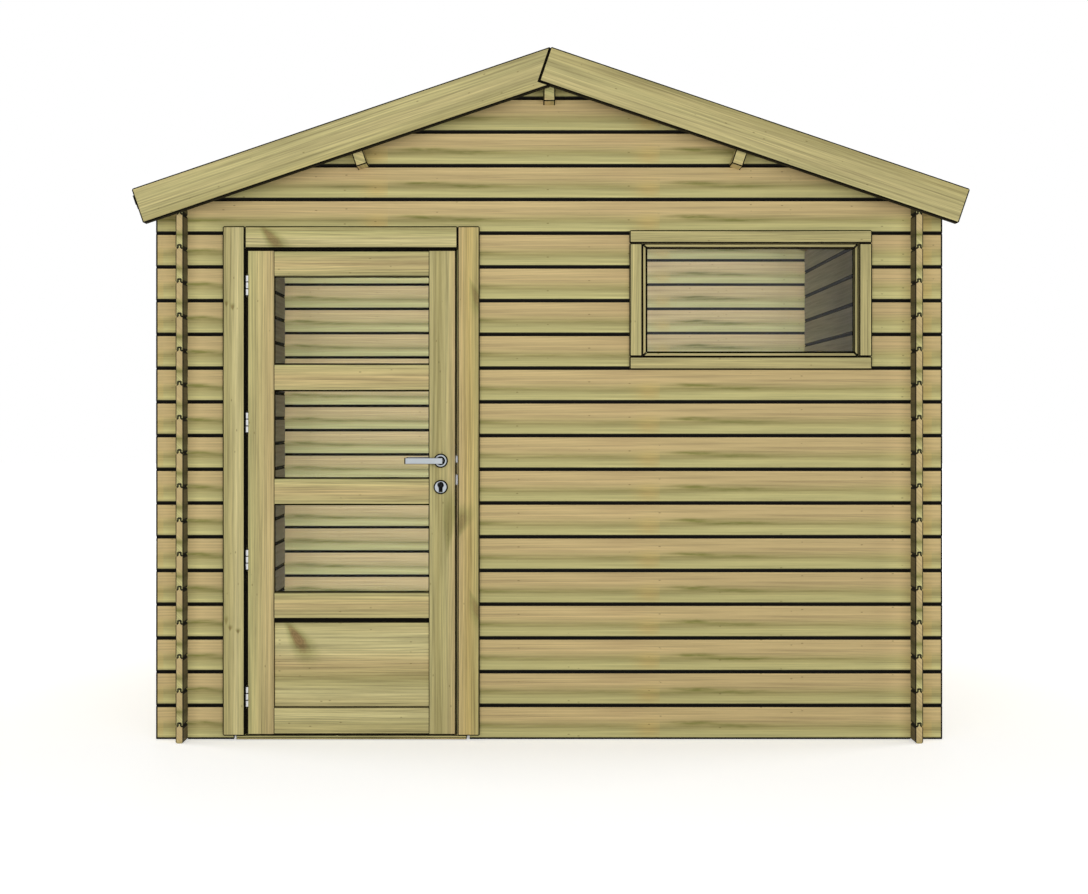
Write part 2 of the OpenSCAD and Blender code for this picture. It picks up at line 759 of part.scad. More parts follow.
// The mortice lock: case, forend, latch and bolt
module door_lock() {
    latch_out = 1.5;
    color(steel) difference() {
        union() {
            translate([leaf_x1 - forend_t, leaf_mid_y - forend_w / 2, lock_mid_z - forend_h / 2])
                cube([forend_t, forend_w, forend_h]);
            translate([leaf_x1 - lock_d, leaf_mid_y - lock_t / 2, lock_mid_z - lock_h / 2])
                cube([lock_d - forend_t / 2, lock_t, lock_h]);
            for (b = [[latch_mid_z, latch_h], [bolt_mid_z, bolt_h]])
                translate([leaf_x1 - forend_t, leaf_mid_y - bolt_t / 2, b[0] - b[1] / 2])
                    cube([forend_t + latch_out, bolt_t, b[1]]);
        }
        translate([lever_x, front_y - cut, lever_mid_z]) rotate([-90, 0, 0])
            cylinder(r = spindle_hole_r, h = leaf_t + 2 * cut);
        translate([lever_x, front_y - cut, cylinder_z]) rotate([-90, 0, 0])
            cylinder(r = cylinder_r + slip, h = leaf_t + 2 * cut);
        translate([lever_x - cylinder_web - slip, front_y - cut,
                   cylinder_z - cylinder_h + cylinder_r - slip])
            cube([2 * (cylinder_web + slip), leaf_t + 2 * cut, cylinder_h - cylinder_r]);
    }
}

// Roses around the levers' necks and the cylinder, on both faces of the door
module door_roses() {
    for (side = [-1, 1]) {
        y = leaf_mid_y + side * (leaf_t / 2 + seat);
        color(steel) {
            translate([lever_x, y, lever_mid_z]) rotate([-side * 90, 0, 0]) difference() {
                cylinder(r = rose_r, h = rose_t);
                translate([0, 0, -cut]) cylinder(r = neck_r + 0.1, h = rose_t + 2 * cut);
            }
            translate([lever_x, y, cylinder_z]) rotate([-side * 90, 0, 0]) difference() {
                translate([0, side * rose_drop, 0]) cylinder(r = rose_r, h = rose_t);
                translate([0, 0, -cut]) cylinder(r = cylinder_r + slip, h = rose_t + 2 * cut);
                translate([-cylinder_web - slip, side < 0 ? -cylinder_h + cylinder_r - slip : 0, -cut])
                    cube([2 * (cylinder_web + slip), cylinder_h - cylinder_r + slip, rose_t + 2 * cut]);
            }
        }
    }
}

module lock_cylinder() {
    out = rose_t - 2;
    length = leaf_t + 2 * (seat + out);
    color(steel) translate([lever_x, leaf_mid_y - length / 2, cylinder_z]) rotate([-90, 0, 0]) {
        cylinder(r = cylinder_r, h = length);
        translate([-cylinder_web, 0, 0]) cube([2 * cylinder_web, cylinder_h - cylinder_r - 1, length]);
    }
}

// Outer and inner levers on their spindle
module door_lever() {
    y_bar = leaf_t / 2 + seat + lever_stand;
    color(steel) translate([lever_x, leaf_mid_y, lever_mid_z]) {
        rotate([90, 0, 0]) translate([0, 0, -y_bar]) cylinder(r = spindle_r, h = 2 * y_bar);
        for (side = [-1, 1]) {
            rotate([side * 90, 0, 0]) translate([0, 0, leaf_t / 2 + seat + 1])
                cylinder(r = neck_r, h = lever_stand - 1);
            translate([-lever_len, side * y_bar - (side < 0 ? lever_t : 0), -lever_h / 2])
                cube([lever_len + bar_end, lever_t, lever_h]);
        }
    }
}

front_wall_left_logs();
front_wall_lower_logs();
front_wall_pier_logs();
front_wall_end_logs();
front_gable_logs();
back_wall_logs();
back_gable_logs();
left_wall_logs();
right_wall_logs();
ridge_purlin();
left_purlin();
right_purlin();
left_roof_boards();
right_roof_boards();
left_roof_felt();
right_roof_felt();
front_left_bargeboard();
front_right_bargeboard();
back_left_bargeboard();
back_right_bargeboard();
left_eaves_board();
right_eaves_board();
door_left_jamb();
door_right_jamb();
door_head();
door_threshold();
door_outer_casings();
door_inner_casings();
window_frame();
window_outer_casings();
window_inner_casings();
window_beads();
window_glass();
hinge_jamb_leaves();
hinge_pins();
strike_plate();
door_stiles();
door_rails();
door_panel();
door_glass();
hinge_door_leaves();
door_lock();
door_roses();
lock_cylinder();
door_lever();
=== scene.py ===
"""Looks of the garden shed: timber, roofing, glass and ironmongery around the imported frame.

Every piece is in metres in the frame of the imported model.  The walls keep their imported
shape and get a timber finish; the other sub-assemblies are modelled here on the sizes
that the frame gives.
"""

from __future__ import annotations

import json
import logging
import math
from collections.abc import Callable, Sequence
from dataclasses import dataclass, field
from enum import Enum

import bpy
from mathutils import Matrix, Vector

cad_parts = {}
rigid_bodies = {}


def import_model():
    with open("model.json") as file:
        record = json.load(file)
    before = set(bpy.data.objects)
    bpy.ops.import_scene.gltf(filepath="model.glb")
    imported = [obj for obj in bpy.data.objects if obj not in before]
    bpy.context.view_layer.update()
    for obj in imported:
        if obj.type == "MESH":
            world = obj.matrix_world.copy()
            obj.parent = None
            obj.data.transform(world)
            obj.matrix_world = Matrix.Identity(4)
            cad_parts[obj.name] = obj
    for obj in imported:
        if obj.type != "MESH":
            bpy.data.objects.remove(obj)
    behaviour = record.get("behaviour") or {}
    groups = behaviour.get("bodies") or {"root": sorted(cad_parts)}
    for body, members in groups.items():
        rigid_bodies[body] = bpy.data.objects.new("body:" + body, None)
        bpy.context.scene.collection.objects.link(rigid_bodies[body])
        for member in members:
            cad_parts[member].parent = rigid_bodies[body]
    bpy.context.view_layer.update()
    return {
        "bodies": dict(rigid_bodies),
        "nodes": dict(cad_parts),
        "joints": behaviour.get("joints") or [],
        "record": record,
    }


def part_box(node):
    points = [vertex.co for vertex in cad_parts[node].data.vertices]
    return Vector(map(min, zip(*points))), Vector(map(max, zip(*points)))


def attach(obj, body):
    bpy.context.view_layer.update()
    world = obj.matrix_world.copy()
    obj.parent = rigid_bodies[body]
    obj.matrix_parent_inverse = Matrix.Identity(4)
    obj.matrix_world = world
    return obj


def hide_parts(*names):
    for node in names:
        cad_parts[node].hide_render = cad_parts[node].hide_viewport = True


LOG = logging.getLogger("shed")

Socket = bpy.types.NodeSocket
Value = float | tuple[float, ...] | Socket
Colour = tuple[float, float, float, float]
Bands = tuple[tuple[float, Colour], ...]
Span = tuple[float, float]
Test = Callable[[Vector, Vector], bool]

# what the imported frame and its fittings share, in metres and degrees
ROOF_SLOPE = 18.75
HINGES = 4
HINGE_PITCH = 0.52
HINGE_HALF = 0.039


class Body(Enum):
    """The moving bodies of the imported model."""

    SHED = "shed"
    DOOR = "door"
    LEVER = "lever"


class Slot(Enum):
    """The record's material slots."""

    LOG = "log_timber"
    SIDE = "side_timber"
    FRAME = "frame_timber"
    DOOR = "door_timber"
    ROOF = "roof_timber"
    FELT = "roof_felt"
    GLASS = "clear_glass"
    BRIGHT = "bright_steel"
    ZINC = "zinc_steel"


class Axis(Enum):
    """The way the fibres of a board run."""

    LONGEST = "longest"
    SLOPE_RIGHT = "slope_right"
    SLOPE_LEFT = "slope_left"


def tint(red: int, green: int, blue: int) -> Colour:
    """A display colour, 0 to 255, as a linear colour for a shader."""
    shares = [c / 255 for c in (red, green, blue)]
    linear = [c / 12.92 if c <= 0.04045 else ((c + 0.055) / 1.055) ** 2.4 for c in shares]
    return (linear[0], linear[1], linear[2], 1.0)


def bands(*tones: Colour) -> Bands:
    """Evenly spaced tones, from one long edge of a board to the other."""
    last = len(tones) - 1
    return tuple((number / last, tone) for number, tone in enumerate(tones))


# ------------------------------------------------------------------ shader graphs


class Graph:
    """Adds and joins the nodes of one shader tree."""

    def __init__(self, tree: bpy.types.NodeTree) -> None:
        """Works on this tree."""
        self.tree = tree

    def feed(self, socket: Socket, value: Value | None) -> None:
        """Links or sets one input.

        Args:
            socket: The input.
            value: A socket to link, a number or a colour to set, or None to leave it.
        """
        if value is None:
            return
        if isinstance(value, bpy.types.NodeSocket):
            self.tree.links.new(value, socket)
        else:
            socket.default_value = value

    def node(self, kind: str, inputs: dict[str, Value] | None = None, **props: object) -> bpy.types.Node:
        """Adds a node.

        Args:
            kind: The node's type name without the ShaderNode prefix.
            inputs: Values or sockets by input name.
            **props: Settings of the node itself.

        Returns:
            The node.
        """
        made = self.tree.nodes.new("ShaderNode" + kind)
        for name, value in props.items():
            setattr(made, name, value)
        for name, value in (inputs or {}).items():
            self.feed(made.inputs[name], value)
        return made

    def math(self, operation: str, a: Value, b: Value | None = None, clamp: bool = False) -> Socket:
        """One arithmetic step on numbers; returns its result."""
        made = self.node("Math", operation=operation, use_clamp=clamp)
        self.feed(made.inputs[0], a)
        self.feed(made.inputs[1], b)
        return made.outputs[0]

    def add(self, a: Value, b: Value) -> Socket:
        """Returns a + b."""
        return self.math("ADD", a, b)

    def sub(self, a: Value, b: Value) -> Socket:
        """Returns a - b."""
        return self.math("SUBTRACT", a, b)

    def mul(self, a: Value, b: Value) -> Socket:
        """Returns a * b."""
        return self.math("MULTIPLY", a, b)

    def size(self, value: Value) -> Socket:
        """Returns value without its sign."""
        return self.math("ABSOLUTE", value)

    def swing(self, value: Value, reach: float) -> Socket:
        """Returns a value of 0 to 1 as a swing about 0, from -reach / 2 to reach / 2."""
        return self.mul(self.sub(value, 0.5), reach)

    def most(self, first: Value, *others: Value) -> Socket:
        """Returns the greatest of these values."""
        for other in others:
            first = self.math("MAXIMUM", first, other)
        return first

    def step(self, value: Value, low: Value, high: Value, to: tuple[float, float] = (0.0, 1.0)) -> Socket:
        """Returns a smooth step of value between low and high, mapped to the range in to."""
        made = self.node("MapRange", interpolation_type="SMOOTHSTEP")
        for name, given in (("Value", value), ("From Min", low), ("From Max", high)):
            self.feed(made.inputs[name], given)
        made.inputs["To Min"].default_value, made.inputs["To Max"].default_value = to
        return made.outputs["Result"]

    def bump_at(self, value: Value, centre: Value, half: float) -> Socket:
        """Returns a rounded bump, 1 at centre and falling to 0 about 2 half away."""
        offset = self.mul(self.sub(value, centre), 1.0 / half)
        return self.math("POWER", 2.718, self.mul(self.mul(offset, offset), -1.0))

    def xyz(self, vector: Value) -> tuple[Socket, Socket, Socket]:
        """Returns the three parts of a vector."""
        made = self.node("SeparateXYZ", {"Vector": vector})
        return made.outputs[0], made.outputs[1], made.outputs[2]

    def vector(self, x: Value, y: Value, z: Value) -> Socket:
        """Returns a vector of three parts."""
        return self.node("CombineXYZ", {"X": x, "Y": y, "Z": z}).outputs[0]

    def noise(self, vector: Value, scale: float, detail: float) -> Socket:
        """Returns soft noise, about 0.5 on average."""
        made = self.node("TexNoise", {"Vector": vector, "Scale": scale, "Detail": detail, "Roughness": 0.5})
        return made.outputs["Fac"]

    def grain(self, along: Value, across: Value, scales: Span, seed: Value, detail: float) -> Socket:
        """Returns noise with a scale of its own along and across the fibres."""
        place = self.vector(self.mul(along, scales[0]), self.mul(across, scales[1]), seed)
        return self.noise(place, 1.0, detail)

    def blend(self, factor: Value, a: Value, b: Value, mode: str = "MIX") -> Socket:
        """Returns colour a mixed with colour b by factor."""
        made = self.node("Mix", data_type="RGBA", blend_type=mode, clamp_factor=True)
        self.feed(made.inputs[0], factor)
        self.feed(made.inputs[6], a)
        self.feed(made.inputs[7], b)
        return made.outputs[2]

    def lit(self, colour: Value, level: Value) -> Socket:
        """Returns a colour made lighter or darker by a level."""
        grey = self.node("CombineColor", {"Red": level, "Green": level, "Blue": level}).outputs[0]
        return self.blend(1.0, colour, grey, "MULTIPLY")

    def place(self) -> Socket:
        """Returns the place on the object, in metres."""
        return self.node("TexCoord").outputs["Object"]

    def board(self, name: str) -> Socket:
        """Returns one of the vectors that lay_grain writes on boards."""
        return self.node("Attribute", attribute_name=name).outputs["Vector"]

    def seen(self) -> Socket:
        """Returns 1 for rays that show the surroundings and 0 for those that light the shed."""
        path = self.node("LightPath").outputs
        return self.most(path["Is Camera Ray"], path["Is Glossy Ray"], path["Is Transmission Ray"])

    def ramp(self, value: Value, stops: Sequence[tuple[float, Colour]]) -> Socket:
        """Returns a colour from a row of (place, colour) stops."""
        made = self.node("ValToRGB", {"Fac": value})
        elements = made.color_ramp.elements
        while len(elements) < len(stops):
            elements.new(1.0)
        for element, (place, colour) in zip(elements, stops):
            element.position, element.color = place, colour
        return made.outputs["Color"]

    def group(self, tree: bpy.types.NodeTree, inputs: dict[str, Value]) -> bpy.types.Node:
        """Places a shared effect in this tree with its own values."""
        made = self.node("Group", node_tree=tree)
        for name, value in inputs.items():
            self.feed(made.inputs[name], value)
        return made


def new_group(
    name: str, inputs: dict[str, float | tuple[float, ...]], outputs: dict[str, str]
) -> tuple[Graph, bpy.types.Node, bpy.types.Node]:
    """Starts a shared effect.

    Args:
        name: The group's name.
        inputs: Default value by input name; a number, a vector of 3 or a colour of 4.
        outputs: Output kind by name, each Float, Vector or Color.

    Returns:
        The graph, its input node and its output node.
    """
    tree = bpy.data.node_groups.new(name, "ShaderNodeTree")
    for socket_name, default in inputs.items():
        kind = "Float" if isinstance(default, (int, float)) else ("Vector" if len(default) == 3 else "Color")
        socket = tree.interface.new_socket(socket_name, in_out="INPUT", socket_type="NodeSocket" + kind)
        socket.default_value = default
    for socket_name, kind in outputs.items():
        tree.interface.new_socket(socket_name, in_out="OUTPUT", socket_type="NodeSocket" + kind)
    graph = Graph(tree)
    return graph, tree.nodes.new("NodeGroupInput"), tree.nodes.new("NodeGroupOutput")


# ------------------------------------------------------------------ shared effects

# the timber's own tones
TAN = tint(190, 169, 121)
PALE = tint(184, 177, 122)
STRAW = tint(180, 170, 120)
FAWN = tint(175, 165, 115)
CREAM = tint(195, 185, 135)
OLIVE = tint(160, 150, 100)
GREEN = tint(152, 148, 92)
HONEY = tint(186, 163, 104)
KNOT_BROWN = tint(128, 104, 70)
SOOT = tint(14, 13, 9)


class Effects:
    """The shader node groups that several finishes use, each built once."""

    STREAK_PITCH = 1.032

    def __init__(self) -> None:
        """Builds every group."""
        self.fibres = self._fibres()
        self.log_face = self._log_face()
        self.board_face = self._board_face()
        self.knot = self._knot()
        self.brushed = self._brushed()

    def _fibres(self) -> bpy.types.NodeTree:
        """Fine lines along the fibres with small dark ticks; puts out a lightness and a height."""
        g, i, o = new_group(
            "fibres",
            {"Along": 0.0, "Across": 0.0, "Seed": 0.0},
            {"Light": "Float", "Tick": "Float", "Height": "Float"},
        )
        along, across, seed = (i.outputs[n] for n in ("Along", "Across", "Seed"))
        broad = g.grain(along, across, (1.6, 95.0), seed, 1.0)
        fine = g.grain(along, across, (4.0, 300.0), g.add(seed, 7.3), 2.0)
        hair = g.grain(along, across, (22.0, 1100.0), seed, 1.0)
        # growth rings, only where the board is cut through them
        sway = g.grain(along, across, (1.3, 9.0), g.add(seed, 2.1), 2.0)
        rings = g.math("SINE", g.add(g.mul(across, 640.0), g.mul(sway, 26.0)))
        cut = g.step(g.grain(along, across, (1.1, 14.0), g.add(seed, 5.0), 1.0), 0.38, 0.66)
        light = g.add(
            g.add(g.swing(broad, 0.50), g.mul(g.mul(rings, cut), 0.050)),
            g.add(g.swing(fine, 0.42), g.swing(hair, 0.16)),
        )
        cell_place = g.vector(g.mul(along, 26.0), g.mul(across, 60.0), seed)
        cells = g.node("TexVoronoi", {"Vector": cell_place, "Scale": 1.0, "Randomness": 1.0})
        lucky = g.step(g.xyz(cells.outputs["Color"])[0], 0.80, 0.82)
        g.feed(o.inputs["Light"], light)
        g.feed(o.inputs["Tick"], g.mul(lucky, g.step(cells.outputs["Distance"], 0.16, 0.08)))
        g.feed(o.inputs["Height"], g.add(g.mul(fine, 0.6), g.mul(hair, 0.4)))
        return g.tree

    def _log_face(self) -> bpy.types.NodeTree:
        """The broad colours of one log: tan above, a green band below the middle, yellow-green below."""
        asked = {"Along": 0.0, "Up": 0.0, "Row": 0.0, "Phase": 0.0}
        g, i, o = new_group("log_face", asked, {"Color": "Color"})
        along, up, row, phase = (i.outputs[n] for n in ("Along", "Up", "Row", "Phase"))
        slow = g.grain(along, row, (2.1, 0.13), phase, 2.0)
        base = g.ramp(
            g.add(up, g.swing(slow, 0.16)), [(0.0, PALE), (0.20, PALE), (0.38, OLIVE), (0.62, TAN)]
        )
        # one green streak in each pitch: a dark head, a paler tail and a broken trace
        turn = g.math("FRACT", g.mul(g.sub(along, phase), 1 / self.STREAK_PITCH))
        wave = g.grain(along, row, (9.0, 0.37), 3.0, 3.0)
        warped = g.add(up, g.swing(wave, 0.11))
        head = g.mul(g.bump_at(turn, 0.125, 0.080), g.bump_at(warped, 0.49, 0.060))
        tail = g.mul(g.bump_at(turn, 0.29, 0.12), g.bump_at(warped, 0.41, 0.062))
        broken = g.step(g.noise(g.vector(along, row, 9.0), 3.3, 1.0), 0.42, 0.7)
        trace = g.mul(broken, g.bump_at(warped, 0.39, 0.03))
        marks = g.add(g.add(g.mul(head, 0.95), g.mul(tail, 0.70)), g.mul(trace, 0.38))
        ragged = g.step(g.grain(along, up, (14.0, 17.0), row, 3.0), 0.25, 0.62)
        streak = g.math("MINIMUM", g.mul(marks, g.add(0.45, g.mul(ragged, 0.65))), 0.9)
        honey = g.mul(g.bump_at(turn, 0.96, 0.05), g.bump_at(up, 0.32, 0.26))
        rosy = g.mul(g.bump_at(turn, 0.86, 0.10), g.step(up, 0.5, 0.8))
        colour = g.blend(g.mul(honey, 0.75), base, HONEY)
        colour = g.blend(g.mul(rosy, 0.45), colour, tint(180, 156, 113))
        g.feed(o.inputs["Color"], g.blend(streak, colour, tint(118, 117, 62)))
        return g.tree

    def _board_face(self) -> bpy.types.NodeTree:
        """The broad colours of a planed board: stripes of tan, yellow-green and olive along its fibres."""
        g, i, o = new_group(
            "board_face", {"Along": 0.0, "Across": 0.0, "Seed": 0.0, "Green": 0.5}, {"Color": "Color"}
        )
        along, across, seed, green = (i.outputs[n] for n in ("Along", "Across", "Seed", "Green"))
        lane = g.add(across, g.swing(g.grain(along, across, (2.6, 5.0), seed, 2.0), 0.022))
        base = g.ramp(
            g.grain(along, lane, (0.7, 17.0), seed, 1.5),
            [(0.26, tint(164, 160, 104)), (0.42, PALE), (0.52, tint(186, 173, 119)), (0.66, TAN)],
        )
        stripe = g.grain(along, lane, (0.9, 48.0), g.add(seed, 4.0), 1.0)
        base = g.blend(g.mul(g.step(stripe, 0.56, 0.72), 0.5), base, HONEY)
        damp = g.grain(along, lane, (1.1, 21.0), g.add(seed, 11.0), 2.0)
        damp = g.mul(g.step(damp, 0.52, 0.74), green)
        g.feed(o.inputs["Color"], g.blend(g.mul(damp, 0.7), base, GREEN))
        return g.tree

    def _knot(self) -> bpy.types.NodeTree:
        """One knot: a turned oval with a dark rim, read on the front plane of the shed."""
        oval = {"X": 0.0, "Z": 0.0, "Long": 0.02, "Wide": 0.01, "Turn": 0.0, "Dark": 0.7}
        g, i, o = new_group("knot", {"Base": TAN, "Place": (0.0, 0.0, 0.0), **oval}, {"Color": "Color"})
        x, _, z = g.xyz(i.outputs["Place"])
        dx, dz = g.sub(x, i.outputs["X"]), g.sub(z, i.outputs["Z"])
        c, s = g.math("COSINE", i.outputs["Turn"]), g.math("SINE", i.outputs["Turn"])
        ragged = g.swing(g.noise(g.vector(g.mul(x, 70.0), 0.0, g.mul(z, 70.0)), 1.0, 3.0), 0.5)
        u = g.math("DIVIDE", g.add(g.mul(dx, c), g.mul(dz, s)), i.outputs["Long"])
        # a spike knot is wider at its far end
        width = g.mul(i.outputs["Wide"], g.add(1.0, g.mul(u, 0.45)))
        v = g.math("DIVIDE", g.sub(g.mul(dz, c), g.mul(dx, s)), width)
        reach = g.add(g.math("SQRT", g.add(g.mul(u, u), g.mul(v, v))), ragged)
        halo = g.mul(g.step(reach, 2.6, 0.7), 0.75)
        core = g.mul(g.step(reach, 1.45, 0.45), i.outputs["Dark"])
        rings = g.math("SINE", g.mul(reach, 17.0))
        colour = g.blend(halo, i.outputs["Base"], tint(140, 136, 82))
        core_colour = g.blend(g.step(rings, -0.6, 0.9), KNOT_BROWN, tint(142, 116, 78))
        g.feed(o.inputs["Color"], g.blend(core, colour, core_colour))
        return g.tree

    def _brushed(self) -> bpy.types.NodeTree:
        """Brushed metal: fine lines and soft smudges; puts out a lightness and a roughness."""
        g, i, o = new_group("brushed", {"Place": (0.0, 0.0, 0.0)}, {"Light": "Float", "Roughness": "Float"})
        x, y, z = g.xyz(i.outputs["Place"])
        lines = g.grain(x, y, (30.0, 900.0), g.mul(z, 1500.0), 2.0)
        smudge = g.noise(i.outputs["Place"], 45.0, 3.0)
        g.feed(o.inputs["Light"], g.swing(lines, 0.22))
        g.feed(o.inputs["Roughness"], g.add(0.22, g.mul(smudge, 0.22)))
        return g.tree


# ------------------------------------------------------------------ finishes


@dataclass(frozen=True)
class Knot:
    """A knot on the front of the shed: its middle, half sizes in metres and turn in degrees."""

    x: float
    z: float
    long: float
    wide: float
    turn: float = 0.0
    dark: float = 0.7


def new_material(name: str) -> tuple[bpy.types.Material, Graph, bpy.types.Node]:
    """Starts a material; returns it, its graph and its Principled BSDF."""
    material = bpy.data.materials.new(name)
    material.use_nodes = True
    graph = Graph(material.node_tree)
    return material, graph, material.node_tree.nodes["Principled BSDF"]


def timber_surface(
    g: Graph, shader: bpy.types.Node, colour: Socket, fibres: bpy.types.Node, bump: float, contrast: float
) -> None:
    """Joins a timber colour and its fibres to the shader.

    Args:
        g: The material's graph.
        shader: Its Principled BSDF.
        colour: The broad colour.
        fibres: The placed fibres group.
        bump: How deep the fibres stand, in metres.
        contrast: How strongly the fibres show.
    """
    lit = g.lit(colour, g.add(1.0, g.mul(fibres.outputs["Light"], contrast)))
    ticked = g.blend(g.mul(fibres.outputs["Tick"], 0.55), lit, tint(104, 92, 54))
    g.feed(shader.inputs["Base Color"], ticked)
    g.feed(shader.inputs["Roughness"], g.step(fibres.outputs["Height"], 0.2, 0.8, (0.86, 0.70)))
    raised = g.node("Bump", {"Height": fibres.outputs["Height"], "Strength": 0.35, "Distance": bump})
    g.feed(shader.inputs["Normal"], raised.outputs["Normal"])
    shader.inputs["Specular IOR Level"].default_value = 0.18


@dataclass(frozen=True)
class LogFinish:
    """Planed logs of a wall, with a dark V joint at each course.

    Attributes:
        name: The material's name.
        side: True for walls whose logs run front to back.
        lift: Height of the first joint above the ground, in metres.
        phase: Shift of the green streaks along the log, in metres.
        painted_shade: How strongly painted shade darkens the faces turned to the inside.
        inner: The painted shade colour of those faces.
        end: Half length of the wall at its log ends, in metres.
        pitch: Height of one log.
        joint: Half height of the dark V joint.
        line: Width of the outlines on the log ends.
        blur: Width over which a line fades.
        tongue_half: Half width of the tongue.
        tongue_h: Height of the tongue.
        wall: Distance of the wall's middle from the middle of the shed.
        half: Half the thickness of a log.
    """

    name: str
    side: bool = False
    lift: float = 0.0
    phase: float = 0.0
    painted_shade: float = 0.0
    inner: Colour = tint(155, 152, 146)
    end: float = 1.492
    pitch: float = 0.128
    joint: float = 0.0058
    line: float = 0.0024
    blur: float = 0.0012
    tongue_half: float = 0.0055
    tongue_h: float = 0.012
    wall: float = 1.386
    half: float = 0.014

    def build(self, effects: Effects) -> bpy.types.Material:
        """Builds the material; returns it."""
        material, g, shader = new_material(self.name)
        place = g.node("TexCoord")
        x, y, z = g.xyz(place.outputs["Object"])
        along, cross = (y, x) if self.side else (x, y)
        normal = g.xyz(place.outputs["Normal"])[1 if self.side else 0]
        is_end = g.step(g.size(normal), 0.6, 0.8)
        is_face = g.sub(1.0, is_end)
        height = g.mul(g.sub(z, self.lift), 1.0 / self.pitch)
        row = g.math("FLOOR", height)
        up = g.sub(height, row)
        places = {"Along": along, "Up": up, "Row": row, "Phase": self.phase}
        colour = g.group(effects.log_face, places).outputs[0]
        colour = g.lit(colour, self._tone(g, row, along, is_face))
        # painted shade on the faces turned to the inside
        if self.painted_shade:
            colour = self._paint_inner_shade(g, colour, along, cross, is_face)
        across = g.add(g.mul(up, self.pitch), g.mul(is_end, cross))
        fibres = g.group(effects.fibres, {"Along": along, "Across": across, "Seed": g.mul(row, 0.03)})
        over = g.mul(up, self.pitch)
        on_face = g.mul(is_face, self._face_lines(g, along, cross, over))
        dark = g.add(g.mul(is_end, self._end_lines(g, cross, over)), on_face)
        timber_surface(g, shader, g.blend(dark, colour, SOOT), fibres, 0.0006, 1.2)
        # once more over the fibres, which would lighten the lines
        lit = shader.inputs["Base Color"].links[0].from_socket
        g.feed(shader.inputs["Base Color"], g.blend(dark, lit, SOOT))
        return material

    def _tone(self, g: Graph, row: Value, along: Value, is_face: Value) -> Socket:
        """Each log's own lightness, with painted light on the faces next to the crossing logs, which offsets
        the shade in those corners.
        """
        chance = g.node("TexWhiteNoise", {"W": row}, noise_dimensions="1D").outputs["Value"]
        own = g.step(chance, 0.0, 1.0, (0.990, 1.050))
        # painted light near the crossing logs, against the shade that falls in the corners
        corner = g.size(g.sub(g.size(along), self.wall))
        beyond = g.step(g.size(along), self.wall, self.wall + self.half, (1.0, 0.5))
        pale = g.mul(g.mul(g.step(corner, 0.15, 0.02), beyond), is_face)
        return g.mul(own, g.add(1.0, g.mul(pale, 0.30)))

    def _within(self, g: Graph, cross: Value) -> Socket:
        """Returns 1 on the half of the log that faces the inside of the shed."""
        return g.step(g.size(cross), self.wall, self.wall - 0.004)

    def _paint_inner_shade(self, g: Graph, colour: Value, along: Value, cross: Value, is_face: Value) -> Socket:
        """Paints shade on the faces turned to the inside, darkest of all behind the crossing logs."""
        outside = g.step(g.size(along), self.wall - 0.006, self.wall + self.half)
        # painted shade, darker still on the inward faces of the log ends beyond the wall
        shade_colour = g.blend(outside, self.inner, tint(62, 57, 40))
        return g.blend(g.mul(g.mul(self._within(g, cross), is_face), self.painted_shade), colour, shade_colour)

    def _near(self, g: Graph, value: Value, width: float) -> Socket:
        """Returns 1 where a distance is under a width, with a soft edge."""
        return g.step(value, width + self.blur, width)

    def _face_lines(self, g: Graph, along: Value, cross: Value, over: Value) -> Socket:
        """The dark joints of the faces, wider on the inner faces of walls with painted shade; a painted
        shadow along the foot of each log; and the rim at the ends.
        """
        gap = g.math("MINIMUM", over, g.sub(self.pitch, over))
        wider = g.mul(self._within(g, cross), 0.0030 if self.painted_shade else 0.0)
        seam = self._near(g, g.sub(gap, wider), self.joint - 0.0003)
        # a painted shadow along the foot of each log, just above the joint
        shadow = g.mul(g.step(over, self.joint + 0.0034, self.joint + 0.0020), 0.70)
        rim = g.step(g.size(along), self.end - 0.0064, self.end - 0.0052)
        return g.most(seam, shadow, rim)

    def _end_lines(self, g: Graph, cross: Value, over: Value) -> Socket:
        """The outlines of the log ends: the tongue, its foot, the bevels and the edges."""
        gap = g.math("MINIMUM", over, g.sub(self.pitch, over))
        off = g.size(g.sub(g.size(cross), self.wall))
        below = g.step(over, self.tongue_h + 0.002, self.tongue_h)
        inside = g.step(off, self.tongue_half + 0.002, self.tongue_half)
        sides = g.mul(self._near(g, g.size(g.sub(off, self.tongue_half)), self.line), below)
        top = g.mul(self._near(g, g.size(g.sub(over, self.tongue_h)), self.line), inside)
        foot = g.mul(self._near(g, gap, self.line), g.step(off, self.tongue_half, self.tongue_half + 0.001))
        bevel = g.step(g.add(gap, g.sub(self.half, off)), 0.0074, 0.0052)
        edge = g.step(off, self.half - 0.0034, self.half - 0.0022)
        return g.most(sides, top, foot, bevel, edge)


